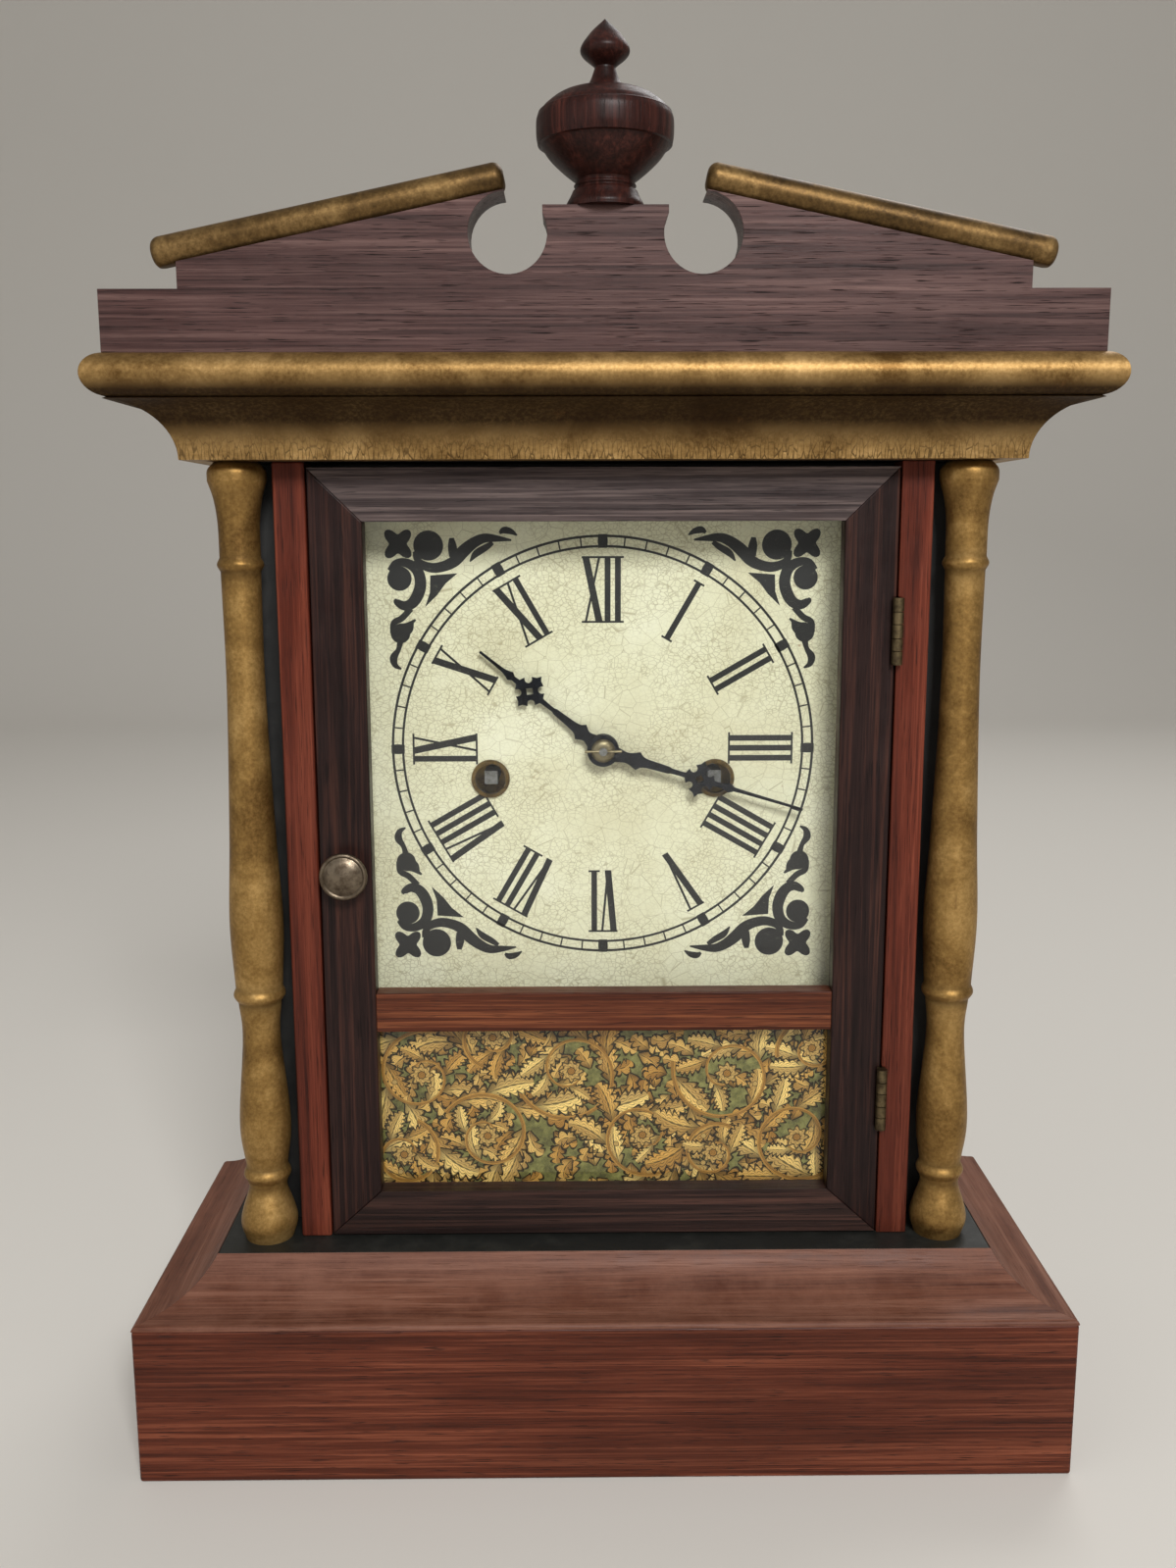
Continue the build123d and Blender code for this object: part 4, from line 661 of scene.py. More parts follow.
def band(line: np.ndarray, away: np.ndarray) -> np.ndarray:
    """Both edges of a stroke, line + away and line - away, as points of a grid two wide."""
    return np.stack([line + away, line - away], axis=1).reshape(-1, 2)


def grid_quads(rows: int, columns: int, ring: bool = False) -> np.ndarray:
    """Four-sided faces of a grid of rows by columns points.

    Args:
        rows: Points along.
        columns: Points across.
        ring: Whether the last column joins the first.

    Returns:
        An (n, 4) array of point numbers.
    """
    r = np.arange(rows - 1)[:, None]
    c = np.arange(columns if ring else columns - 1)[None, :]
    a = r * columns + c
    b = r * columns + (c + 1) % columns
    return np.stack([a, b, b + columns, a + columns], axis=-1).reshape(-1, 4)


def hollowness(profile: np.ndarray, reach: float) -> np.ndarray:
    """How far each profile point lies below the mean of its neighbours within reach, from 0 to 1.

    Args:
        profile: (n, 2) radius and height in metres.
        reach: Half-length of the neighbourhood along the height, in metres.

    Returns:
        One number a point: the shortfall of the radius, 0.9 mm counting as 1.
    """
    radius, height = profile[:, 0], profile[:, 1]
    near = np.exp(-(((height[:, None] - height[None, :]) / reach) ** 2))
    mean = (near * radius[None, :]).sum(1) / near.sum(1)
    return np.clip((mean - radius) / (0.9 * MM), 0.0, 1.0)


@contextmanager
def bench(mesh: bpy.types.Mesh) -> Iterator[bmesh.types.BMesh]:
    """Opens a mesh for editing and writes it back.

    Args:
        mesh: The mesh to edit.

    Yields:
        The open mesh.
    """
    work = bmesh.new()
    work.from_mesh(mesh)
    yield work
    work.to_mesh(mesh)
    work.free()


def new_mesh(name: str, points: np.ndarray, faces: Sequence[Sequence[int]]) -> bpy.types.Mesh:
    """Mesh from places in millimetres and lists of point numbers.

    Args:
        name: The mesh's name.
        points: (n, 3) places.
        faces: Point numbers of each face.

    Returns:
        The mesh.
    """
    mesh = bpy.data.meshes.new(name)
    mesh.from_pydata((points * MM).tolist(), [], faces)
    return mesh


def store(thing: Thing, name: str, values: np.ndarray) -> None:
    """Stores one number at each point of a piece for its finish to read."""
    layer = thing.data.attributes.new(name=name, type="FLOAT", domain="POINT")
    layer.data.foreach_set("value", np.asarray(values, np.float32))


def home(node: str) -> str:
    """The body that a frame node rides on."""
    return body_of(frame["nodes"][node])[0]


def fit(thing: Thing, finish: Coat, body: str, stands_for: Sequence[str] = ()) -> None:
    """Gives a piece its finish, body and the nodes that it stands for.

    Args:
        thing: The finished object.
        finish: Its finish.
        body: The body that it rides on.
        stands_for: Frame nodes that it replaces.
    """
    thing.data.materials.clear()
    thing.data.materials.append(finish.material())
    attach(thing, body)
    if stands_for:
        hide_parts(*stands_for)
    LOG.info("%s rides on %s, %d faces", thing.name, body, len(thing.data.polygons))


def link(name: str, mesh: bpy.types.Mesh, crease: float = CREASE) -> Thing:
    """Smooths a mesh and puts it in the scene.

    Args:
        name: The object's name.
        mesh: The finished mesh.
        crease: Edges sharper than this many degrees stay crisp.

    Returns:
        The object.
    """
    mesh.polygons.foreach_set("use_smooth", np.ones(len(mesh.polygons), bool))
    mesh.set_sharp_from_angle(angle=radians(crease))
    mesh.update()
    made = bpy.data.objects.new(name, mesh)
    bpy.context.scene.collection.objects.link(made)
    return made


def shape(name: str, points: np.ndarray, faces: Sequence[Sequence[int]], closed: bool = True,
          crease: float = CREASE) -> Thing:
    """Object from points and faces, merged at seams and poles.

    Args:
        name: The piece's name.
        points: (n, 3) places.
        faces: Lists of point numbers.
        closed: Whether it encloses a space, so that its faces can be turned outwards.
        crease: Edges sharper than this many degrees stay crisp.

    Returns:
        The object, linked to the scene.
    """
    mesh = new_mesh(name, points, faces)
    with bench(mesh) as work:
        bmesh.ops.remove_doubles(work, verts=work.verts, dist=TINY)
        if closed:
            bmesh.ops.recalc_face_normals(work, faces=work.faces)
    return link(name, mesh, crease)


def film(name: str, mesh: bpy.types.Mesh, thickness: float) -> Thing:
    """Object from a printed sheet, shaded flat and thickened.

    Args:
        name: The piece's name.
        mesh: The sheet.
        thickness: How thick the print lies.

    Returns:
        The object, linked to the scene.
    """
    made = link(name, mesh)
    mesh.shade_flat()
    solid = made.modifiers.new("film", "SOLIDIFY")
    solid.thickness = thickness * MM
    solid.offset = 1.0
    return made


def soften(finish: Coat, slot: str, round_off: float, *nodes: str, crease: float = CREASE) -> None:
    """Copies frame nodes with their arrises rounded off, as hands and years leave them.

    Args:
        finish: Their finish.
        slot: The record's material slot; not used.
        round_off: Radius of the arrises; 0 leaves them crisp.
        nodes: The nodes to copy and stand for.
        crease: Edges sharper than this many degrees are arrises.
    """
    for node in nodes:
        mesh = frame["nodes"][node].data.copy()
        with bench(mesh) as work:
            bmesh.ops.remove_doubles(work, verts=work.verts, dist=2 * TINY)
            bmesh.ops.dissolve_limit(work, angle_limit=radians(0.5), verts=work.verts, edges=work.edges)
        made = link(f"{node}_dressed", mesh, crease)
        if round_off:
            bevel = made.modifiers.new("arris", "BEVEL")
            bevel.width = round_off * MM
            bevel.segments = 3
            bevel.limit_method = "ANGLE"
            bevel.angle_limit = radians(crease)
            bevel.harden_normals = True
        fit(made, finish, home(node), (node,))


def turned(node: str, profile: np.ndarray, centre: Place, finish: Coat,
           facing: Grain = Grain.UPRIGHT, sides: int = 96, reach: float = 2.5) -> None:
    """Surface of revolution: centre + radius * (cos a, sin a) across the axis + height along it.

    Args:
        node: The frame node that it stands for.
        profile: (n, 2) radius and height.
        centre: Place of height 0.
        finish: Its finish.
        facing: UPRIGHT turns about Z; FRONT_TO_BACK turns about Y with height towards the viewer.
        sides: Points round each ring.
        reach: Neighbourhood for the hollow mark.
    """
    turn = np.linspace(0.0, 2 * pi, sides, endpoint=False)
    across = profile[:, :1] * np.cos(turn)
    away = profile[:, :1] * np.sin(turn)
    rise = np.repeat(profile[:, 1:], sides, axis=1)
    upright = facing is Grain.UPRIGHT
    points = np.stack((across, away, rise) if upright else (across, -rise, away), axis=-1).reshape(-1,
                                                                                                   3) + centre
    faces = grid_quads(len(profile), sides, ring=True).tolist()
    for row in (0, len(profile) - 1):
        if profile[row, 0] * MM > TINY:
            faces.append(list(range(row * sides, (row + 1) * sides)))
    made = shape(f"{node}_dressed", points, faces)
    spots = np.empty(len(made.data.vertices) * 3)
    made.data.vertices.foreach_get("co", spots)
    spots = spots.reshape(-1, 3) / MM - centre
    level = spots[:, 2] if upright else -spots[:, 1]
    # A gilt finish darkens where this mark is high: dirt and painted shade in the concave places; other
    # finishes don't read it
    depth = hollowness(profile * MM, reach * MM)
    order = np.argsort(profile[:, 1], kind="stable")
    store(made, "hollow", np.interp(level, profile[order, 1], depth[order]))
    fit(made, finish, home(node), (node,))


@dataclass
class Moulding:
    """A moulding round the front and both sides of the case, mitred at the front corners."""

    stem: str
    half: float
    front: float
    back: float
    section: np.ndarray
    hollow: np.ndarray
    crazed: np.ndarray
    slot: str
    waver: float
    joint: float = 0.05
    crease: float = 28.0
    waves: tuple[float, float] = (55.0, 131.0)
    wave_slant: float = 0.9

    def build(self, front_finish: Coat, side_finish: Coat) -> None:
        """Makes the three lengths: a section point at reach r runs at half-width half + r and at front - r.

        Args:
            front_finish: The finish of the front length.
            side_finish: The finish of the side lengths.
        """
        reach, height = self.section.T
        wide, near = self.half + reach, self.front - reach
        left = np.column_stack([-wide + self.joint, near, height])
        right = np.column_stack([wide - self.joint, near, height])
        self.run(f"{self.stem}_front", left, right, front_finish, 120)
        for side in Side:
            start = np.column_stack([side.value * wide, near + self.joint, height])
            stop = np.column_stack([side.value * wide, np.full_like(near, self.back), height])
            self.run(f"{self.stem}_{side.word}", start, stop, side_finish, 50)

    def run(self, node: str, start: np.ndarray, stop: np.ndarray, finish: Coat, steps: int) -> None:
        """One length: each point of the closed section is carried straight from its start to its stop.

        Two sine waves along the run, in radians to the metre, move its underside as planing does; the first
        also shifts by wave_slant radians for each millimetre of height.

        Args:
            node: The frame node that it stands for.
            start: (n, 3) places at one end.
            stop: (n, 3) places at the other end.
            finish: Its finish.
            steps: Stations along the run.
        """
        share = np.linspace(0.0, 1.0, steps)[:, None]
        points = start + (stop - start) * share[..., None]
        height = self.section[:, 1]
        metres = share * np.linalg.norm(stop[0] - start[0]) * MM
        slow, quick = self.waves
        wave = np.sin(metres * slow + height * self.wave_slant) + np.sin(metres * quick + 2.0)
        ends = np.minimum(1.0, 12 * np.minimum(share, 1 - share))
        out = self.section - self.section.mean(0)
        under = np.minimum(out[:, 1] / np.linalg.norm(out, axis=1), 0.0) * (height > height.min() + TINY / MM)
        points[..., 2] += self.waver * 0.5 * wave * ends * under
        count = len(height)
        faces = grid_quads(steps, count, ring=True).tolist()
        faces += [list(range(count)), list(range((steps - 1) * count, steps * count))]
        made = shape(f"{node}_dressed", points.reshape(-1, 3), faces, crease=self.crease)
        store(made, "hollow", np.tile(self.hollow, steps))
        store(made, "crazed", np.tile(self.crazed, steps))
        fit(made, finish, home(node), (node,))


@dataclass
class ClockBase:
    """The hollow base: three veneered boards, the coved moulding and the plinth board."""

    half: float = 137.0
    front: float = -55.0
    back: float = 55.0
    height: float = 48.0
    inset: float = 20.6
    rise: float = 13.3
    edge: float = 1.4
    waver: float = 0.12

    def build(self) -> None:
        """Boards with worn arrises, and the cove's arc from level at its lip to steep at the plinth."""
        soften(Finish.BASE, "base_veneer", 0.9, "base_front")
        soften(Finish.BASE_SIDE, "base_veneer", 0.9, *pair("base_side"))
        soften(Finish.PLINTH, "black_paint", 0.5, "plinth_board")
        run, rise = self.inset - self.edge, self.rise - self.edge
        radius = (run * run + rise * rise) / (2 * rise)
        sweep = np.degrees(np.arctan2(run, radius - rise))
        lip = arc((self.edge, self.height), self.edge, 180, 90, 6)
        cove = arc((self.edge, self.height + self.edge + radius), radius, -90, -90 + sweep, 18)
        section = np.vstack([lip, cove[1:], [(self.inset, self.height)]]) * (-1, 1)
        plain = np.zeros(len(section))
        moulding = Moulding("cove", self.half, self.front, self.back, section, plain, plain, "cove_paint",
                            self.waver)
        moulding.build(Finish.COVE, Finish.COVE_SIDE)


@dataclass
class Cornice:
    """The gilt cornice: a cavetto under a torus, with age cracks near its foot."""

    half: float = 116.0
    front: float = -34.0
    back: float = 55.0
    foot: float = 294.0
    cavetto: float = 15.0
    torus_from: float = 14.0
    torus_reach: float = 19.3
    torus_low: float = 15.5
    torus_height: float = 11.0
    wall: float = 8.0
    crazed_to: float = 9.0
    # Heights where dirt and painted shade darken the gilding: the cavetto's upper part and the torus's
    # underside, which face down
    dirt_levels: tuple[float, ...] = (2.5, 10.0, 17.0, 20.5)
    waver: float = 0.25

    def build(self) -> None:
        """Quarter arc outwards, a half millimetre fillet and the torus; the last two points are bare wood."""
        low = self.foot + self.torus_low
        high = low + self.torus_height
        cavetto = arc((self.cavetto, self.foot), self.cavetto, 180, 90, 18)
        torus = through_three((self.torus_from, low), (self.torus_reach, (low + high) / 2),
                              (self.torus_from, high), 18)
        section = np.vstack([cavetto, torus, [(-self.wall, high), (-self.wall, self.foot)]])
        height = section[:, 1] - self.foot
        # Painted shade with some dirt: darkest on the down-facing upper cavetto and torus underside
        dirt = np.interp(height, self.dirt_levels, (0.0, 1.0, 1.0, 0.0))
        crazed = np.append(np.interp(height[:-2], (0.0, self.crazed_to), (1.0, 0.0)), (-1.0, -1.0))
        moulding = Moulding("cornice", self.half, self.front, self.back, section, dirt, crazed, "gilt",
                            self.waver)
        moulding.build(Finish.GILT_MOULD, Finish.GILT_MOULD)
        soften(Finish.BLACK, "black_paint", 0.2, "soffit_board")


@dataclass
class Columns:
    """The two turned and gilt columns. Each profile point is (radius, height) above the plinth."""

    half_spread: float = 103.0
    depth: float = -22.5
    floor: float = 61.3

    @property
    def profile(self) -> np.ndarray:
        """Ball foot, rings and swells from the foot to the cap.

        Returns:
            (n, 2) radius and height.
        """
        parts = (
            ((7.2, 0), (8.55, 4.9), (7.75, 9.6), (5.8, 15.7), (6.0, 18.3)),
            ((6.0, 18.3), (7.1, 20.7), (6.15, 23.1)),
            ((6.15, 23.1), (7.6, 37.4), (5.6, 63.8), (6.3, 75.2)),
            ((6.3, 75.2), (7.6, 77.4), (6.9, 79.6)),
            ((6.9, 79.6), (7.8, 100), (6.65, 126.8), (5.45, 169.6), (5.6, 202.2)),
            ((5.6, 202.2), (6.55, 204.2), (5.75, 206.2)),
            ((5.75, 206.2), (5.85, 215.7), (6.7, 222.5), (8.2, 227.4)),
            ((8.2, 227.4), (8.0, 230.4), (6.0, 232.7)),
        )
        return np.vstack([smooth_through(part, 12) for part in parts])

    def build(self) -> None:
        """One surface of revolution on each side of the door."""
        for side in Side:
            spot = (side.value * self.half_spread, self.depth, self.floor)
            turned(f"column_{side.word}", self.profile, spot, Finish.GILT)


@dataclass
class Pediment:
    """The sawn pediment board with its gilt rods and the turned finial."""

    finial_depth: float = -41.0
    finial_seat: float = 356.8

    @property
    def profile(self) -> np.ndarray:
        """The finial's foot, rings, bowl, band, dome, spire and bud.

        Returns:
            (n, 2) radius and height above its seat.
        """
        parts = (
            ((10.2, 0), (10.1, 1.2), (9.1, 3.0), (8.4, 4.5)),
            ((8.4, 4.5), (7.7, 5.1), (8.1, 5.8), (7.7, 6.5), (8.0, 7.1)),
            ((8.0, 7.1), (9.0, 7.8), (11.6, 9.9), (14.4, 12.6), (16.6, 15.6)),
            ((17.4, 15.8), (17.75, 18.0), (17.75, 21.5), (17.2, 23.5)),
            ((16.7, 23.7), (15.3, 25.3), (11.5, 27.8), (4.9, 29.6)),
            ((4.9, 29.6), (3.7, 31.6), (2.7, 34.3)),
            ((2.7, 34.6), (6.35, 38.2), (4.2, 42.2), (0.0, 46.2)),
        )
        return np.vstack([[(0.0, 0.0)], *(smooth_through(part, 10) for part in parts)])

    def build(self) -> None:
        """The board keeps its sawn outline; the finial is turned anew."""
        soften(Finish.PEDIMENT, "pediment_wood", 0.5, "pediment_board")
        soften(Finish.GILT_ROD, "gilt", 0.0, *pair("gilt_rod"), crease=40.0)
        spot = (0.0, self.finial_depth, self.finial_seat)
        turned("finial", self.profile, spot, Finish.FINIAL)


class CaseBox:
    """The upright case behind the door: sides, back, painted front frame and the veneered strips."""

    def build(self) -> None:
        """Every board with slightly worn arrises."""
        soften(Finish.CASE, "case_wood", 0.4, *pair("case_side"))
        soften(Finish.STRIP, "strip_veneer", 0.7, *pair("strip"))
        soften(Finish.BOARD, "case_wood", 0.4, "case_back")
        soften(Finish.BLACK, "black_paint", 0.3, "front_frame")
        soften(Finish.BOARD, "case_wood", 0.3, "dial_battens")


@dataclass
class Door:
    """The glazed door with its mitred frame, knob and hinges."""

    knob_across: float = -75.7
    knob_height: float = 176.3
    face: float = -24.4

    def build(self) -> None:
        """Frame members, glass, knob and both hinge leaves."""
        soften(Finish.STILE, "door_rosewood", 0.5, *pair("door_stile"))
        soften(Finish.TOP_RAIL, "door_rosewood", 0.5, "door_top_rail")
        soften(Finish.LOW_RAIL, "door_rosewood", 0.5, "door_bottom_rail")
        soften(Finish.MID_RAIL, "rail_veneer", 0.4, "door_mid_rail")
        soften(Finish.GLASS, "glass", 0.0, "dial_glass", "tablet_glass")
        soften(Finish.HINGE, "brass", 0.0, "hinge_door_leaves", "hinge_case_leaves")
        self.knob()

    def knob(self) -> None:
        """A shallow rimmed dome on a waisted neck, turned about the line of sight."""
        neck = smooth_through(((4.8, 0.0), (4.4, 0.9), (3.2, 1.7), (3.9, 3.6), (6.2, 4.95)))
        rim = arc((6.2, 5.8), 0.8, -60, 95, 10)
        dome = smooth_through(((5.7, 6.3), (3.8, 7.25), (0.0, 8.0)))
        profile = np.vstack([[(0.0, 0.0)], neck, rim, dome])
        spot = (self.knob_across, self.face, self.knob_height)
        turned("door_knob", profile, spot, Finish.KNOB, Grain.FRONT_TO_BACK, 72, 1.0)


@dataclass
class InkSheet:
    """Flat printed shapes on the dial, measured from its centre, a hair in front of the enamel."""

    depth: float = -6.405
    lift: float = 0.0005
    lifts: int = 12
    thickness: float = 0.02
    points: list[np.ndarray] = field(default_factory=list)
    faces: list[list[int]] = field(default_factory=list)

    def add(self, places: np.ndarray, faces: Sequence[Sequence[int]]) -> None:
        """Adds one patch, a lift in front of the one before it; after the last lift the first comes again.

        Args:
            places: (n, 2) across and up.
            faces: Lists of point numbers within the patch.
        """
        first = sum(len(p) for p in self.points)
        level = np.full(len(places), self.depth - self.lift * (len(self.points) % self.lifts))
        self.points.append(np.column_stack([places[:, 0] + DIAL_CENTRE[0], level,
                                            places[:, 1] + DIAL_CENTRE[1]]))
        self.faces.extend([[first + i for i in face] for face in faces])

    def ribbon(self, line: Sequence[Spot], widths: Sequence[float], steps: int = 7) -> None:
        """Stroke curved through its places: line +- half the width along the line's normal.

        Args:
            line: Places along the middle, three or more.
            widths: Full width at each place.
            steps: Points on each span.
        """
        run = smooth_through(np.column_stack([line, widths]), steps)
        normal = headings(run[:, :2])[1]
        self.add(band(run[:, :2], normal * np.abs(run[:, 2:]) / 2), grid_quads(len(run), 2).tolist())

    def blob(self, centre: Spot, across: float, up: float, petals: int = 0, depth: float = 0.0,
             turn: float = 0.0) -> None:
        """Round or petalled spot: radius 1 + depth * cos(petals * angle), stretched across and up.

        Args:
            centre: Its middle.
            across: Radius across.
            up: Radius upwards.
            petals: How many petals; 0 makes it round.
            depth: How deep they are cut, as a share of the radius.
            turn: Angle of the first petal in radians.
        """
        count = 48
        angle = np.linspace(0.0, 2 * pi, count, endpoint=False)
        grow = 1.0 + depth * np.cos(petals * (angle - turn))
        edge = np.column_stack([centre[0] + across * grow * np.cos(angle),
                                centre[1] + up * grow * np.sin(angle)])
        self.add(np.vstack([edge, centre]), [[i, (i + 1) % count, count] for i in range(count)])

    def ring(self, radius: float, width: float) -> None:
        """Circle line: spokes from radius + width / 2 to radius - width / 2.

        Args:
            radius: Radius of its middle.
            width: Its width.
        """
        count = 240
        angle = np.linspace(0.0, 2 * pi, count, endpoint=False)
        spoke = np.column_stack([np.sin(angle), np.cos(angle)])
        places = np.vstack([spoke * (radius + width / 2), spoke * (radius - width / 2)])
        self.add(places, grid_quads(2, count, ring=True).tolist())

    def build(self, name: str, finish: Coat, body: str) -> None:
        """All patches as one piece, turned to the viewer and thickened to a film.

        Args:
            name: The piece's name.
            finish: Its finish.
            body: The body that it rides on.
        """
        mesh = new_mesh(name, np.vstack(self.points), self.faces)
        with bench(mesh) as work:
            for face in work.faces:
                face.normal_update()
                if face.normal.y > 0:
                    face.normal_flip()
        fit(film(name, mesh, self.thickness), finish, body)


@dataclass
class Dial:
    """The painted dial: enamel, time ring, radial numerals, corner scrolls and brass grommets."""

    inner_ring: float = 60.3
    outer_ring: float = 63.3
    inner_line: float = 0.7
    outer_line: float = 0.75
    tick: float = 0.45
    mark: float = 3.0
    mark_past: float = 0.5
    numeral_foot: float = 37.8
    numeral_top: float = 57.4
    bar: float = 1.75
    v_bar: float = 2.0
    x_bar: float = 2.1
    hairline: float = 0.7
    serif: float = 0.6
    serif_past: float = 0.5
    lean_in: float = 0.9
    room: dict[str, float] = field(default_factory=lambda: {"I": 3.05, "V": 5.4, "X": 5.9})

    def build(self) -> None:
        """Enamel first, then the print in one film."""
        soften(Finish.DIAL, "dial_paint", 0.0, "dial_plate")
        soften(Finish.DARK_BRASS, "brass", 0.0, "key_grommets")
        sheet = InkSheet()
        self.time_ring(sheet)
        names = ("XII", "I", "II", "III", "IIII", "V", "VI", "VII", "VIII", "IX", "X", "XI")
        for hour, text in enumerate(names):
            self.numeral(sheet, text, hour * pi / 6)
        for across in (-1.0, 1.0):
            for up in (-1.0, 1.0):
                self.corner(sheet, across, up)
        sheet.build("dial_print", Finish.INK, "case")

    def time_ring(self, sheet: InkSheet) -> None:
        """Two lines, a tick for each minute and a square spot for each five.

        Args:
            sheet: The print that it joins.
        """
        sheet.ring(self.inner_ring, self.inner_line)
        sheet.ring(self.outer_ring, self.outer_line)
        middle = (self.inner_ring + self.outer_ring) / 2
        for minute in range(60):
            five = minute % 5 == 0
            wide, past = (self.mark, self.mark_past) if five else (self.tick, 0.0)
            turn = minute * pi / 30
            levels = np.array([[self.inner_ring - past], [middle], [self.outer_ring + past]])
            sheet.ribbon(levels * (sin(turn), cos(turn)), (wide * 0.86, wide, wide * 0.86), 4)

    def numeral(self, sheet: InkSheet, text: str, turn: float) -> None:
        """One numeral with its feet to the centre: thick strokes fall from upper left to lower right.

        Args:
            sheet: The print that it joins.
            text: The numeral's letters.
            turn: The hour's angle from the top, clockwise.
        """
        foot, top = self.numeral_foot, self.numeral_top
        axes = np.array([[cos(turn), -sin(turn)], [sin(turn), cos(turn)]])

        def stroke(x0: float, y0: float, x1: float, y1: float, width: float) -> None:
            """One straight stroke in the numeral's own frame, its ends cut level."""
            places = [(x0 - width / 2, y0), (x0 + width / 2, y0), (x1 + width / 2, y1), (x1 - width / 2, y1)]
            sheet.add(np.array(places) @ axes, [[0, 1, 2, 3]])

        cursor = -sum(self.room[letter] for letter in text) / 2
        for letter in text:
            wide = self.room[letter]
            left, middle, right = cursor + self.lean_in, cursor + wide / 2, cursor + wide - self.lean_in
            if letter == "I":
                stroke(middle, foot, middle, top, self.bar)
            elif letter == "V":
                stroke(left, top, middle, foot, self.v_bar)
                stroke(right, top, middle, foot, self.hairline)
            else:
                stroke(left, top, right, foot, self.x_bar)
                stroke(right, top, left, foot, self.hairline)
            if letter != "V":
                stroke(middle, foot, middle, foot + self.serif, wide + self.serif_past)
            stroke(middle, top - self.serif, middle, top, wide + self.serif_past)
            cursor += wide

    def corner(self, sheet: InkSheet, across: float, up: float) -> None:
        """Scroll ornament of one corner, drawn for the upper left and mirrored.

        Args:
            sheet: The print that it joins.
            across: -1 keeps it on the left and 1 mirrors it to the right.
            up: 1 keeps it at the top and -1 mirrors it to the bottom.
        """
        mirror = np.array([-across, up])
        sheet.blob(mirror * (-60.3, 61.1), 3.9, 4.1, 4, 0.32, pi / 4)
        for x, z, size in ((-51.4, 60.6, 4.4), (-60.1, 51.0, 3.6), (-60.2, 34.8, 2.9)):
            sheet.blob(mirror * (x, z), size, size)
        strokes = (
            (((-55.6, 58.9), (-54.9, 56.9), (-53.4, 55.1), (-50.1, 54.1), (-46.5, 54.7), (-43.6, 56.2),
              (-41.2, 58.8), (-38.1, 61.3), (-34.9, 62.7), (-31.2, 62.6), (-26.9, 62.1)),
             (0.8, 1.9, 2.5, 2.9, 3.1, 3.4, 3.7, 3.2, 2.7, 1.9, 0.5)),
            (((-44.5, 62.8), (-44.3, 60.4), (-44.0, 57.4)), (1.4, 2.6, 2.6)),
            (((-30.4, 64.2), (-29.0, 65.0), (-27.0, 64.6), (-25.2, 63.5)), (0.8, 2.0, 1.7, 0.4)),
            (((-39.2, 55.9), (-37.4, 58.2), (-34.5, 60.0), (-32.4, 61.4)), (0.4, 2.0, 1.9, 1.2)),
            (((-63.2, 53.5), (-61.0, 55.5), (-57.8, 55.5), (-54.9, 53.5), (-53.9, 49.8), (-54.8, 46.2),
              (-56.6, 43.7), (-58.9, 43.0), (-61.0, 44.1), (-61.6, 45.0)),
             (1.0, 2.1, 2.7, 3.2, 3.4, 3.5, 3.2, 2.8, 2.0, 0.7)),
            (((-56.9, 42.2), (-59.6, 39.4), (-62.1, 37.9), (-62.7, 34.8)), (1.8, 1.9, 1.8, 1.2)),
            (((-60.6, 37.0), (-58.4, 37.0), (-55.6, 38.9)), (1.6, 1.9, 0.6)),
            (((-59.0, 34.6), (-57.2, 36.0), (-56.4, 38.2)), (2.2, 1.6, 0.5)),
            (((-60.3, 32.4), (-61.0, 29.9), (-62.4, 27.6), (-62.0, 25.4), (-60.2, 24.2)),
             (1.9, 1.5, 2.3, 1.7, 0.5)),
        )
        for line, widths in strokes:
            sheet.ribbon(mirror * line, widths)
        wedge = ((-51.0, 51.9), (-42.9, 52.5), (-46.5, 49.5), (-49.0, 46.2), (-52.7, 42.6), (-51.2, 46.9),
                 (-49.6, 49.4))
        sheet.add(mirror * wedge, [[i, (i + 1) % 6, 6] for i in range(6)])


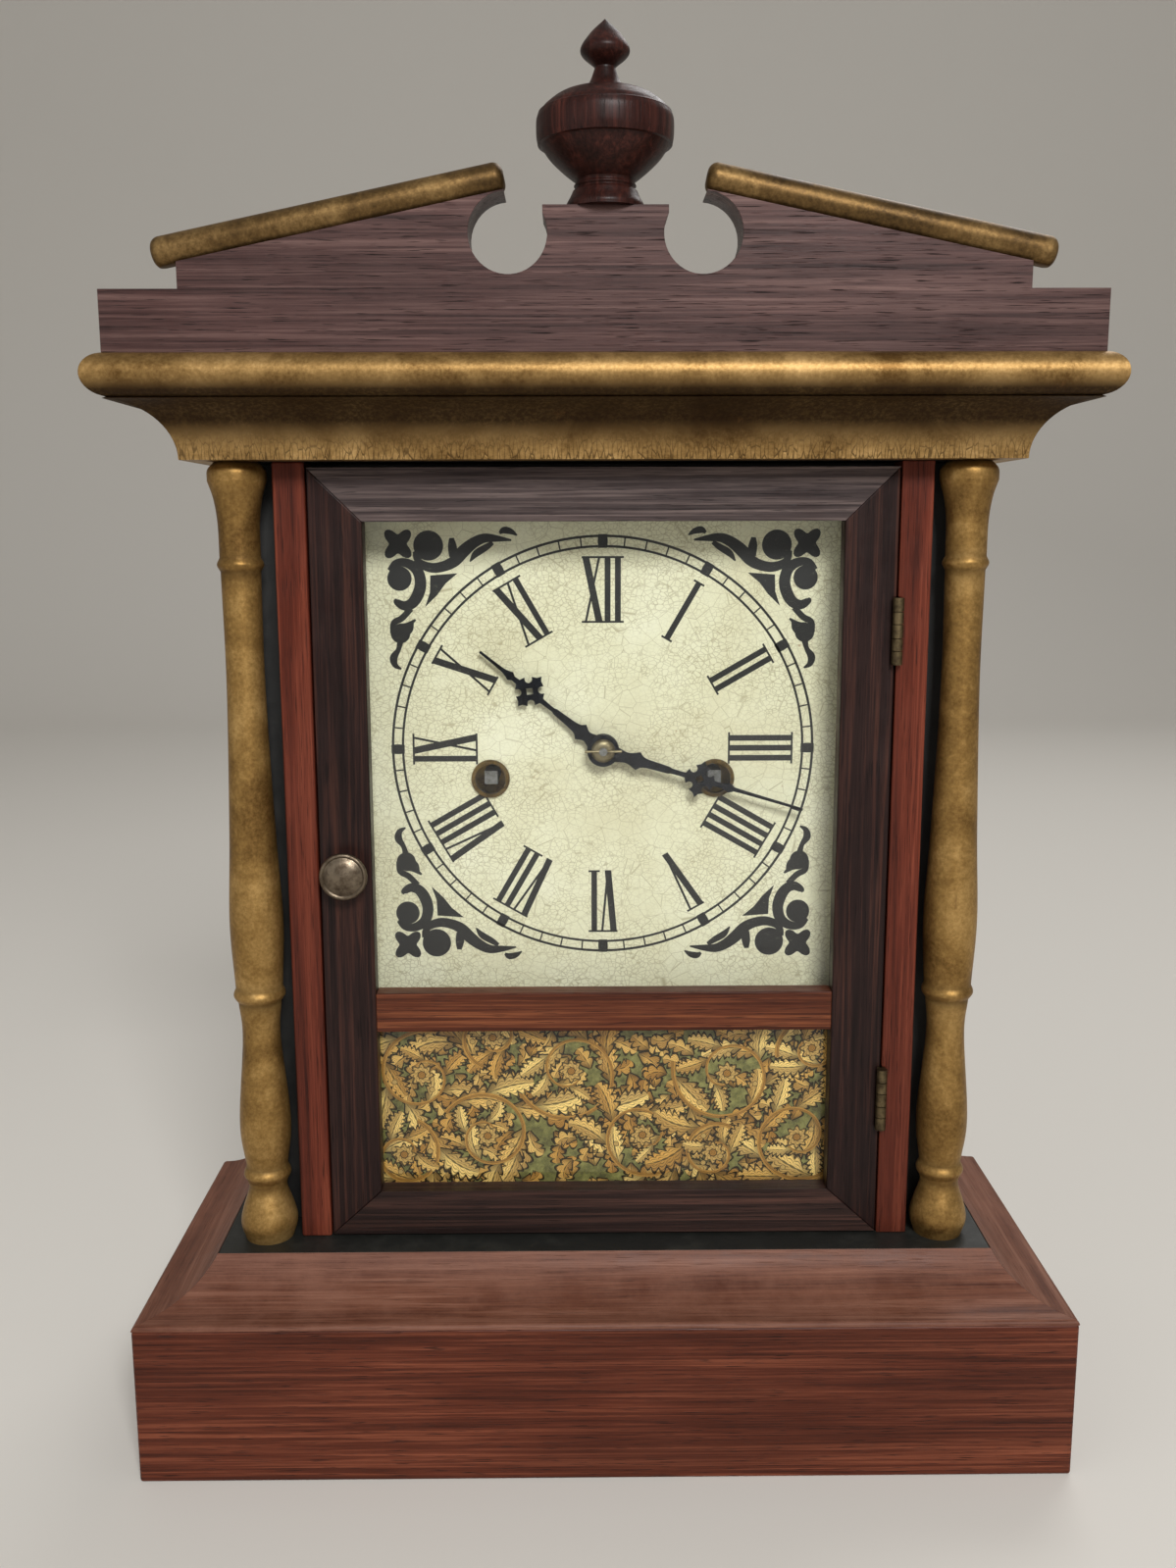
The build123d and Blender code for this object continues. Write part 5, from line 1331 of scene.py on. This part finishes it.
@dataclass(frozen=True)
class HandShape:
    """Outline of one hand: places along it of its shoulders, cross, arrow and tip."""

    node: str
    turn: float
    shoulders: float
    cross: float
    arrow: float
    tip: float
    stem: float
    front: float
    bore: float
    hub: float = 4.8
    neck: float = 2.2
    window: float = 1.35
    thick: float = 0.8

    @property
    def outline(self) -> np.ndarray:
        """Right half from hub to tip and its mirror image, closed round the hub.

        Returns:
            (n, 2) across and along the hand.
        """
        scallop = arc((0.0, 3.6), 1.1, 180, 360, 11)
        side = np.vstack([[(-4.0, 4.0), (-2.6, 3.75), (-1.1, 4.25)], scallop,
                          [(1.1, 4.25), (2.6, 3.75), (4.0, 4.0)]])
        lower, upper = (side @ (0.5**0.5 * np.array(turn)) + (0.0, self.cross) for turn in
                        (((1, 1), (1, -1)), ((-1, 1), (1, 1))))
        start = (self.hub**2 - self.neck**2) ** 0.5
        low, high = self.shoulders, self.cross + 5.1
        middle = (low + self.cross) / 2
        right = np.vstack([
            smooth_through(((self.neck, start), (1.6, (start + low) / 2), (2.75, low)), 6),
            smooth_through(((1.75, low + 1.1), (1.3, low + 3.0), (self.stem + 0.3, middle)), 6),
            [(self.stem, middle + 0.8), (0.72, self.cross - 5.2)],
            lower[1:], upper[1:-1],
            [(0.75, high), (0.7, (high + self.arrow) / 2), (1.45, self.arrow), (1.1, self.arrow + 0.7)],
            smooth_through(((0.95, self.arrow + 1.2), (0.55, self.arrow + 3.4), (0.36, self.tip)), 5),
        ])
        begin = np.degrees(np.arctan2(start, -self.neck))
        end = 360 + np.degrees(np.arctan2(start, self.neck))
        return np.vstack([right, (right * (-1, 1))[::-1], arc((0.0, 0.0), self.hub, begin, end, 40)[1:-1]])

    def build(self) -> None:
        """A flat plate about the dial's centre, with its bore and the cross's window cut out."""
        diamond = np.array([(0.0, 1.0), (1.0, 0.0), (0.0, -1.0), (-1.0, 0.0)])
        window = diamond * self.window + (0.0, self.cross)
        loops = [self.outline, arc((0.0, 0.0), self.bore, 360, 0, 33)[:-1], window]
        faces = tessellate_polygon([np.pad(loop, ((0, 0), (0, 1))).tolist() for loop in loops])
        lie = radians(self.turn)
        flat = np.vstack(loops) @ np.array([[cos(lie), -sin(lie)], [sin(lie), cos(lie)]]) + DIAL_CENTRE
        count = len(flat)
        levels = np.repeat((self.front, self.front + self.thick), count)
        points = np.insert(np.tile(flat, (2, 1)), 1, levels, axis=1)
        solid = [[i + shift for i in face] for shift in (0, count) for face in faces]
        first = 0
        for loop in loops:
            ring = list(range(first, first + len(loop)))
            solid += [(a, b, b + count, a + count) for a, b in zip(ring, ring[1:] + ring[:1])]
            first += len(loop)
        fit(shape(f"{self.node}_dressed", points, solid), Finish.BLUED, home(self.node), (self.node,))


class Hands:
    """The blued hands with their brass collet, and the arbor that carries them."""

    def build(self) -> None:
        """Both hands are cut from sheet and stand at the photograph's time."""
        HandShape("hour_hand", turn=308.9, shoulders=8.6, cross=28.1, arrow=35.5, tip=47.0, stem=0.6,
                  front=-9.2, bore=2.4).build()
        HandShape("minute_hand", turn=106.8, shoulders=10.9, cross=30.2, arrow=39.5, tip=62.8, stem=0.75,
                  front=-11.6, bore=1.2).build()
        soften(Finish.COLLET, "brass", 0.0, "hand_collet")
        soften(Finish.STEEL, "steel", 0.0, "centre_arbor")


class Movement:
    """Plates, wheels, springs, gong and pendulum, seen through the open door and the key holes."""

    def build(self) -> None:
        """Each node keeps its shape, smoothed, on the body that moves it."""
        soften(Finish.BRASS, "brass", 0.0, "front_plate", "back_plate", "hour_wheel", "minute_wheel",
               "third_wheel", "escape_wheel", "time_great_wheel", "strike_great_wheel", "pin_wheel",
               "pendulum_bob")
        soften(Finish.STEEL, "steel", 0.0, "plate_pillars", "time_winding_arbor", "strike_winding_arbor",
               "verge", "pendulum_rod")
        soften(Finish.BLUED, "steel", 0.0, "mainsprings", "gong")
        soften(Finish.IRON, "iron", 0.0, "gong_block", "hammer")


@dataclass
class Tablet:
    """The lower glass's backing: leaf scrolls in layers over an olive ground.

    Each patch lies one lift in front of the one before it, so that none fights another for the same plane.
    """

    half: float = 71.3
    low: float = 72.7
    high: float = 130.2
    ground: float = -15.70
    back: float = -15.5
    margin: float = 0.3
    first_lift: float = 0.01
    lift: float = 0.0002
    thickness: float = 0.0003
    seed: int = 11
    bed_columns: int = 24
    bed_rows: int = 10
    bed_start: Spot = (-70.0, 75.0)
    bed_pitch: Spot = (6.1, 6.0)
    bed_stray: float = 1.8
    bed_share: float = 0.93
    bed_half_width: float = 2.7
    stations: int = 60
    stem_turns: float = 1.3
    stem_shrink: float = 0.8
    stem_half: float = 0.7
    stem_taper: float = 0.4
    leaves: int = 11
    leaf_length: float = 16.5
    leaf_half_width: float = 4.6
    outline: float = 0.5
    rosette: float = 3.4
    petals: int = 8
    petal_depth: float = 0.22
    eye: float = 1.3
    berry: float = 0.9
    berry_off: float = 2.6
    points: list[np.ndarray] = field(default_factory=list)
    faces: list[np.ndarray] = field(default_factory=list)
    marks: list[np.ndarray] = field(default_factory=list)
    total: int = 0
    layers: int = 0

    def build(self) -> None:
        """Ground slab, a bed of small dark leaves, then stems, large leaves, rosettes and berries."""
        self.paper()
        chance = np.random.default_rng(self.seed)
        self.bed(chance)
        self.finish_print("tablet_leaf_bed")
        scrolls = ((-56, 110, 16, 1, 0.4), (-36, 90, 15, -1, 2.6), (-10, 111, 17, 1, 3.6),
                   (12, 90, 16, -1, 0.2), (38, 110, 17, 1, 2.9), (60, 89, 15, -1, 5.4),
                   (-62, 84, 12, -1, 1.2), (64, 118, 11, -1, 3.4), (-34, 122, 10, -1, 4.4),
                   (34, 84, 10, 1, 1.0))
        for x, z, radius, hand, start in scrolls:
            self.scroll((x, z), radius, hand, start, chance)
        self.finish_print("tablet_scrolls")

    def paper(self) -> None:
        """The ground slab: a box of eight corners."""
        ranges = ((self.ground, self.back), (self.low, self.high), (-self.half, self.half))
        corners = np.stack(np.meshgrid(*ranges, indexing="ij"), axis=-1).reshape(-1, 3)[:, (2, 0, 1)]
        sides = [(0, 1, 3, 2), (4, 6, 7, 5), (0, 4, 5, 1), (2, 3, 7, 6), (0, 2, 6, 4), (1, 5, 7, 3)]
        fit(shape("tablet_ground", corners, sides), Finish.PAPER, "door", ("tablet_print",))

    def bed(self, chance: np.random.Generator) -> None:
        """Small leaves on a loose grid, one place in fourteen left empty.

        Args:
            chance: Source of the differences, drawn spot first, then whether there is a leaf, then the leaf.
        """
        stray = self.bed_stray
        for column in range(self.bed_columns):
            for row in range(self.bed_rows):
                spot = [start + step * pitch + chance.uniform(-stray, stray)
                        for start, step, pitch in zip(self.bed_start, (column, row), self.bed_pitch)]
                if chance.random() < self.bed_share:
                    self.leaf(spot, chance.uniform(0, 2 * pi), chance.uniform(6.0, 9.5), self.bed_half_width,
                              chance.uniform(-1.8, 1.8), chance.uniform(0.3, 0.7), 3, 22)

    def patch(self, places: np.ndarray, marks: np.ndarray, rows: int, columns: int) -> None:
        """Adds one grid patch in its own layer.

        Args:
            places: (rows * columns, 2) across and up.
            marks: (rows * columns, 3) along, beside and tone.
            rows: Points along.
            columns: Points across.
        """
        level = self.ground - self.first_lift - self.lift * self.layers
        self.layers += 1
        edge = self.margin
        flat = np.clip(places, (-self.half + edge, self.low + edge), (self.half - edge, self.high - edge))
        self.points.append(np.insert(flat, 1, level, axis=1))
        self.faces.append(grid_quads(rows, columns) + self.total)
        self.marks.append(marks)
        self.total += len(flat)

    def leaf(self, root: Spot, heading: float, length: float, width: float, bend: float, tone: float,
             lobes: int, rows: int) -> None:
        """Acanthus leaf: a bent rib with lobed edges that sweep forward towards the tip.

        A darker and wider copy lies beneath it as its outline.

        Args:
            root: Where it springs.
            heading: Its first direction in radians.
            length: Along the rib.
            width: Half-width at its broadest.
            bend: How far the rib turns, in radians.
            tone: 0 dark to 1 pale.
            lobes: Lobes on each side.
            rows: Points along.
        """
        t = np.linspace(0.0, 1.0, rows)
        course = heading + bend * t**1.4
        tangent = np.column_stack([np.cos(course), np.sin(course)])
        normal = np.column_stack([-np.sin(course), np.cos(course)])
        rib = np.cumsum(tangent * length / (rows - 1), axis=0) + np.asarray(root)
        body = np.sin(pi * t**0.8) ** 0.65
        cut = 0.3 + 0.7 * np.abs(np.sin(pi * lobes * t)) ** 0.75
        for spread, shade, columns in ((self.outline, -1.0, 5), (0.0, tone, 7 if lobes > 4 else 5)):
            s = np.linspace(-1.0, 1.0, columns)
            grid_t, grid_s = np.meshgrid(t, s, indexing="ij")
            reach = width * body * cut + spread
            sweep = length * 0.2 * body * (0.5 + 0.5 * cut)
            places = (rib[:, None] + normal[:, None] * (reach[:, None] * s)[..., None]
                      + tangent[:, None] * (sweep[:, None] * np.abs(s) ** 1.3)[..., None])
            marks = np.column_stack([grid_t.ravel(), grid_s.ravel(), np.full(grid_t.size, shade)])
            self.patch(places.reshape(-1, 2), marks, rows, columns)

    def disc(self, centre: Spot, radius: float, petals: int, tone: float) -> None:
        """Rosette or berry: rings of radius times 1 + petal_depth * cos(petals * angle) about a centre.

        Args:
            centre: Its middle.
            radius: Its mean radius.
            petals: How many petals; 0 makes a berry.
            tone: 0 dark to 1 pale.
        """
        rings, count = 7, 41
        angle = np.linspace(0.0, 2 * pi, count)
        share = np.linspace(0.02, 1.0, rings)
        grow = 1.0 + (self.petal_depth * np.cos(petals * angle) if petals else 0.0 * angle)
        across = centre[0] + radius * np.outer(share, grow * np.cos(angle))
        up = centre[1] + radius * np.outer(share, grow * np.sin(angle))
        fall = np.repeat(share, count)
        round_marks = np.tile(angle / (2 * pi) * petals / 15.0 * 2 if petals else angle * 0 + 0.5, rings)
        marks = np.column_stack([round_marks + 0.3, 0.14 + fall * 0.86, np.full(fall.size, tone)])
        self.patch(np.column_stack([across.ravel(), up.ravel()]), marks, rings, count)

    def scroll(self, centre: Spot, radius: float, hand: int, start: float,
               chance: np.random.Generator) -> None:
        """Spiral stem with leaves on both sides, a rosette in its eye and three berries.

        The stem's radius falls evenly by stem_shrink over its turns, and the leaves grow smaller with it.

        Args:
            centre: The eye.
            radius: The stem's outer radius.
            hand: 1 turns leftwards and -1 rightwards.
            start: Angle where the stem begins.
            chance: Source of small differences.
        """
        count = self.stations
        share = np.linspace(0.0, 1.0, count)
        angle = start + hand * share * 2 * pi * self.stem_turns
        size = radius * (1.0 - self.stem_shrink * share)
        line = np.column_stack([centre[0] + size * np.cos(angle), centre[1] + size * np.sin(angle)])
        slope, normal = headings(line)
        stem = band(line, normal * (self.stem_half - self.stem_taper * share)[:, None])
        marks = np.column_stack([np.repeat(share, 2) + 0.3, np.tile((-0.7, 0.7), count),
                                 np.full(2 * count, 0.3)])
        for step in range(self.leaves):
            i = 2 + step * 5
            away = np.arctan2(slope[i, 1], slope[i, 0])
            grow = (1.0 - 0.55 * share[i]) * chance.uniform(0.9, 1.15)
            outward = -hand if step % 3 else hand
            heading = away + outward * chance.uniform(0.3, 0.75)
            self.leaf(line[i], heading, self.leaf_length * grow, self.leaf_half_width * grow,
                      outward * chance.uniform(-0.5, 1.3), chance.uniform(0.45, 1.0), 6, 36)
        self.patch(stem, marks, count, 2)
        self.disc(centre, self.rosette, self.petals, 0.8)
        self.disc(centre, self.eye, 0, 0.3)
        for i in (8, 22, 36):
            self.disc(line[i] + normal[i] * hand * self.berry_off, self.berry, 0, 0.9)

    def finish_print(self, name: str) -> None:
        """Makes one film of the layers so far, with their marks, and starts an empty sheet.

        Args:
            name: The piece's name.
        """
        mesh = new_mesh(name, np.vstack(self.points), np.vstack(self.faces).tolist())
        mesh.update()
        normals = np.empty(len(mesh.polygons) * 3)
        mesh.polygons.foreach_get("normal", normals)
        if normals.reshape(-1, 3)[:, 1].sum() > 0:
            mesh.flip_normals()
        made = film(name, mesh, self.thickness)
        for mark, values in zip(("along", "beside", "tone"), np.vstack(self.marks).T):
            store(made, mark, values)
        fit(made, Finish.LEAVES, "door", ())
        self.points, self.faces, self.marks, self.total = [], [], [], 0


@dataclass
class Studio:
    """Pale sweep, soft light from above the front, and the photograph's point of view. Places in metres."""

    eye: Place = (-0.0083, -0.4303, 0.2743)
    pitch: float = 10.06
    yaw: float = 0.51
    roll: float = 0.15
    lens: float = 32.56
    aim: Place = (0.0, 0.0, 0.2)
    sky: tuple[float, float, float, float] = (0.86, 0.84, 0.81, 1.0)
    sky_strength: float = 0.36
    paper: Colour = tint(214, 210, 203)

    def build(self) -> None:
        """Floor, world, lights and camera."""
        self.sweep()
        world = bpy.data.worlds.new("studio")
        world.use_nodes = True
        ground = world.node_tree.nodes["Background"]
        ground.inputs["Color"].default_value = self.sky
        ground.inputs["Strength"].default_value = self.sky_strength
        bpy.context.scene.world = world
        bpy.context.scene.view_settings.view_transform = "Standard"
        self.light("key", (0.3, -1.5, 1.2), 0.5, 29.0)
        self.light("fill", (-1.3, -1.1, 0.6), 1.2, 3.0)
        self.light("rim", (0.6, 1.0, 1.4), 0.8, 7.0)
        self.camera()

    def sweep(self) -> None:
        """Floor that curves up into a backdrop: level, quarter circle, upright."""
        bend = arc((1.6, 0.8), 0.8, -90, 0, 24)
        line = np.vstack([[(-6.0, 0.0)], bend, [(2.4, 5.0)]])
        across = np.linspace(-6.0, 6.0, 3)
        points = np.column_stack([np.tile(across, len(line)), np.repeat(line, len(across), axis=0)])
        floor = shape("studio_floor", points / MM, grid_quads(len(line), len(across)).tolist(), closed=False)
        floor.data.materials.append(Recipe("pale_paper").surface(Base_Color=self.paper, Roughness=0.9))

    def light(self, name: str, place: Place, size: float, power: float) -> None:
        """Square soft light at a place, turned towards the clock.

        Args:
            name: Its name.
            place: Where it stands.
            size: Its width.
            power: Its power in watts.
        """
        lamp = bpy.data.lights.new(name, "AREA")
        lamp.size = size
        lamp.energy = power
        thing = bpy.data.objects.new(name, lamp)
        away = np.asarray(place) - self.aim
        away /= np.linalg.norm(away)
        side = np.cross((0.0, 0.0, 1.0), away)
        side /= np.linalg.norm(side)
        self.stand(thing, side, np.cross(away, side), away, place)

    def stand(self, thing: Thing, right: np.ndarray, up: np.ndarray, back: np.ndarray, place: Place) -> None:
        """Puts an object in the scene, with its place and three axes as the columns of its matrix.

        Args:
            thing: The light or camera.
            right: Its X axis.
            up: Its Y axis.
            back: Its Z axis.
            place: Where it stands.
        """
        columns = np.eye(4)
        columns[:3] = np.column_stack([right, up, back, place])
        thing.matrix_world = Matrix(columns.tolist())
        bpy.context.scene.collection.objects.link(thing)

    def camera(self) -> None:
        """The photograph's camera: solved from the clock's straight edges."""
        tip, turn, lean = radians(self.pitch), radians(self.yaw), radians(self.roll)
        ahead = np.array([sin(turn) * cos(tip), cos(turn) * cos(tip), -sin(tip)])
        right = np.array([cos(turn), -sin(turn), 0.0])
        down = np.cross(ahead, right)
        rolled = right * cos(lean) + down * sin(lean)
        fallen = down * cos(lean) - right * sin(lean)
        lens = bpy.data.cameras.new("photo_camera")
        lens.sensor_width = 36.0
        lens.lens = self.lens
        lens.clip_start = 0.01
        thing = bpy.data.objects.new("photo_camera", lens)
        self.stand(thing, rolled, -fallen, -ahead, self.eye)
        bpy.context.scene.camera = thing


def main() -> None:
    """Dresses the frame from the base upwards, then sets the studio."""
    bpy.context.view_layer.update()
    for section in (ClockBase(), CaseBox(), Columns(), Cornice(), Pediment(), Door(), Tablet(), Dial(),
                    Hands(), Movement(), Studio()):
        section.build()
        LOG.info("built %s", type(section).__name__)


if __name__ == "__main__":
    logging.basicConfig(level=logging.INFO, format="%(name)s: %(message)s")
    main()
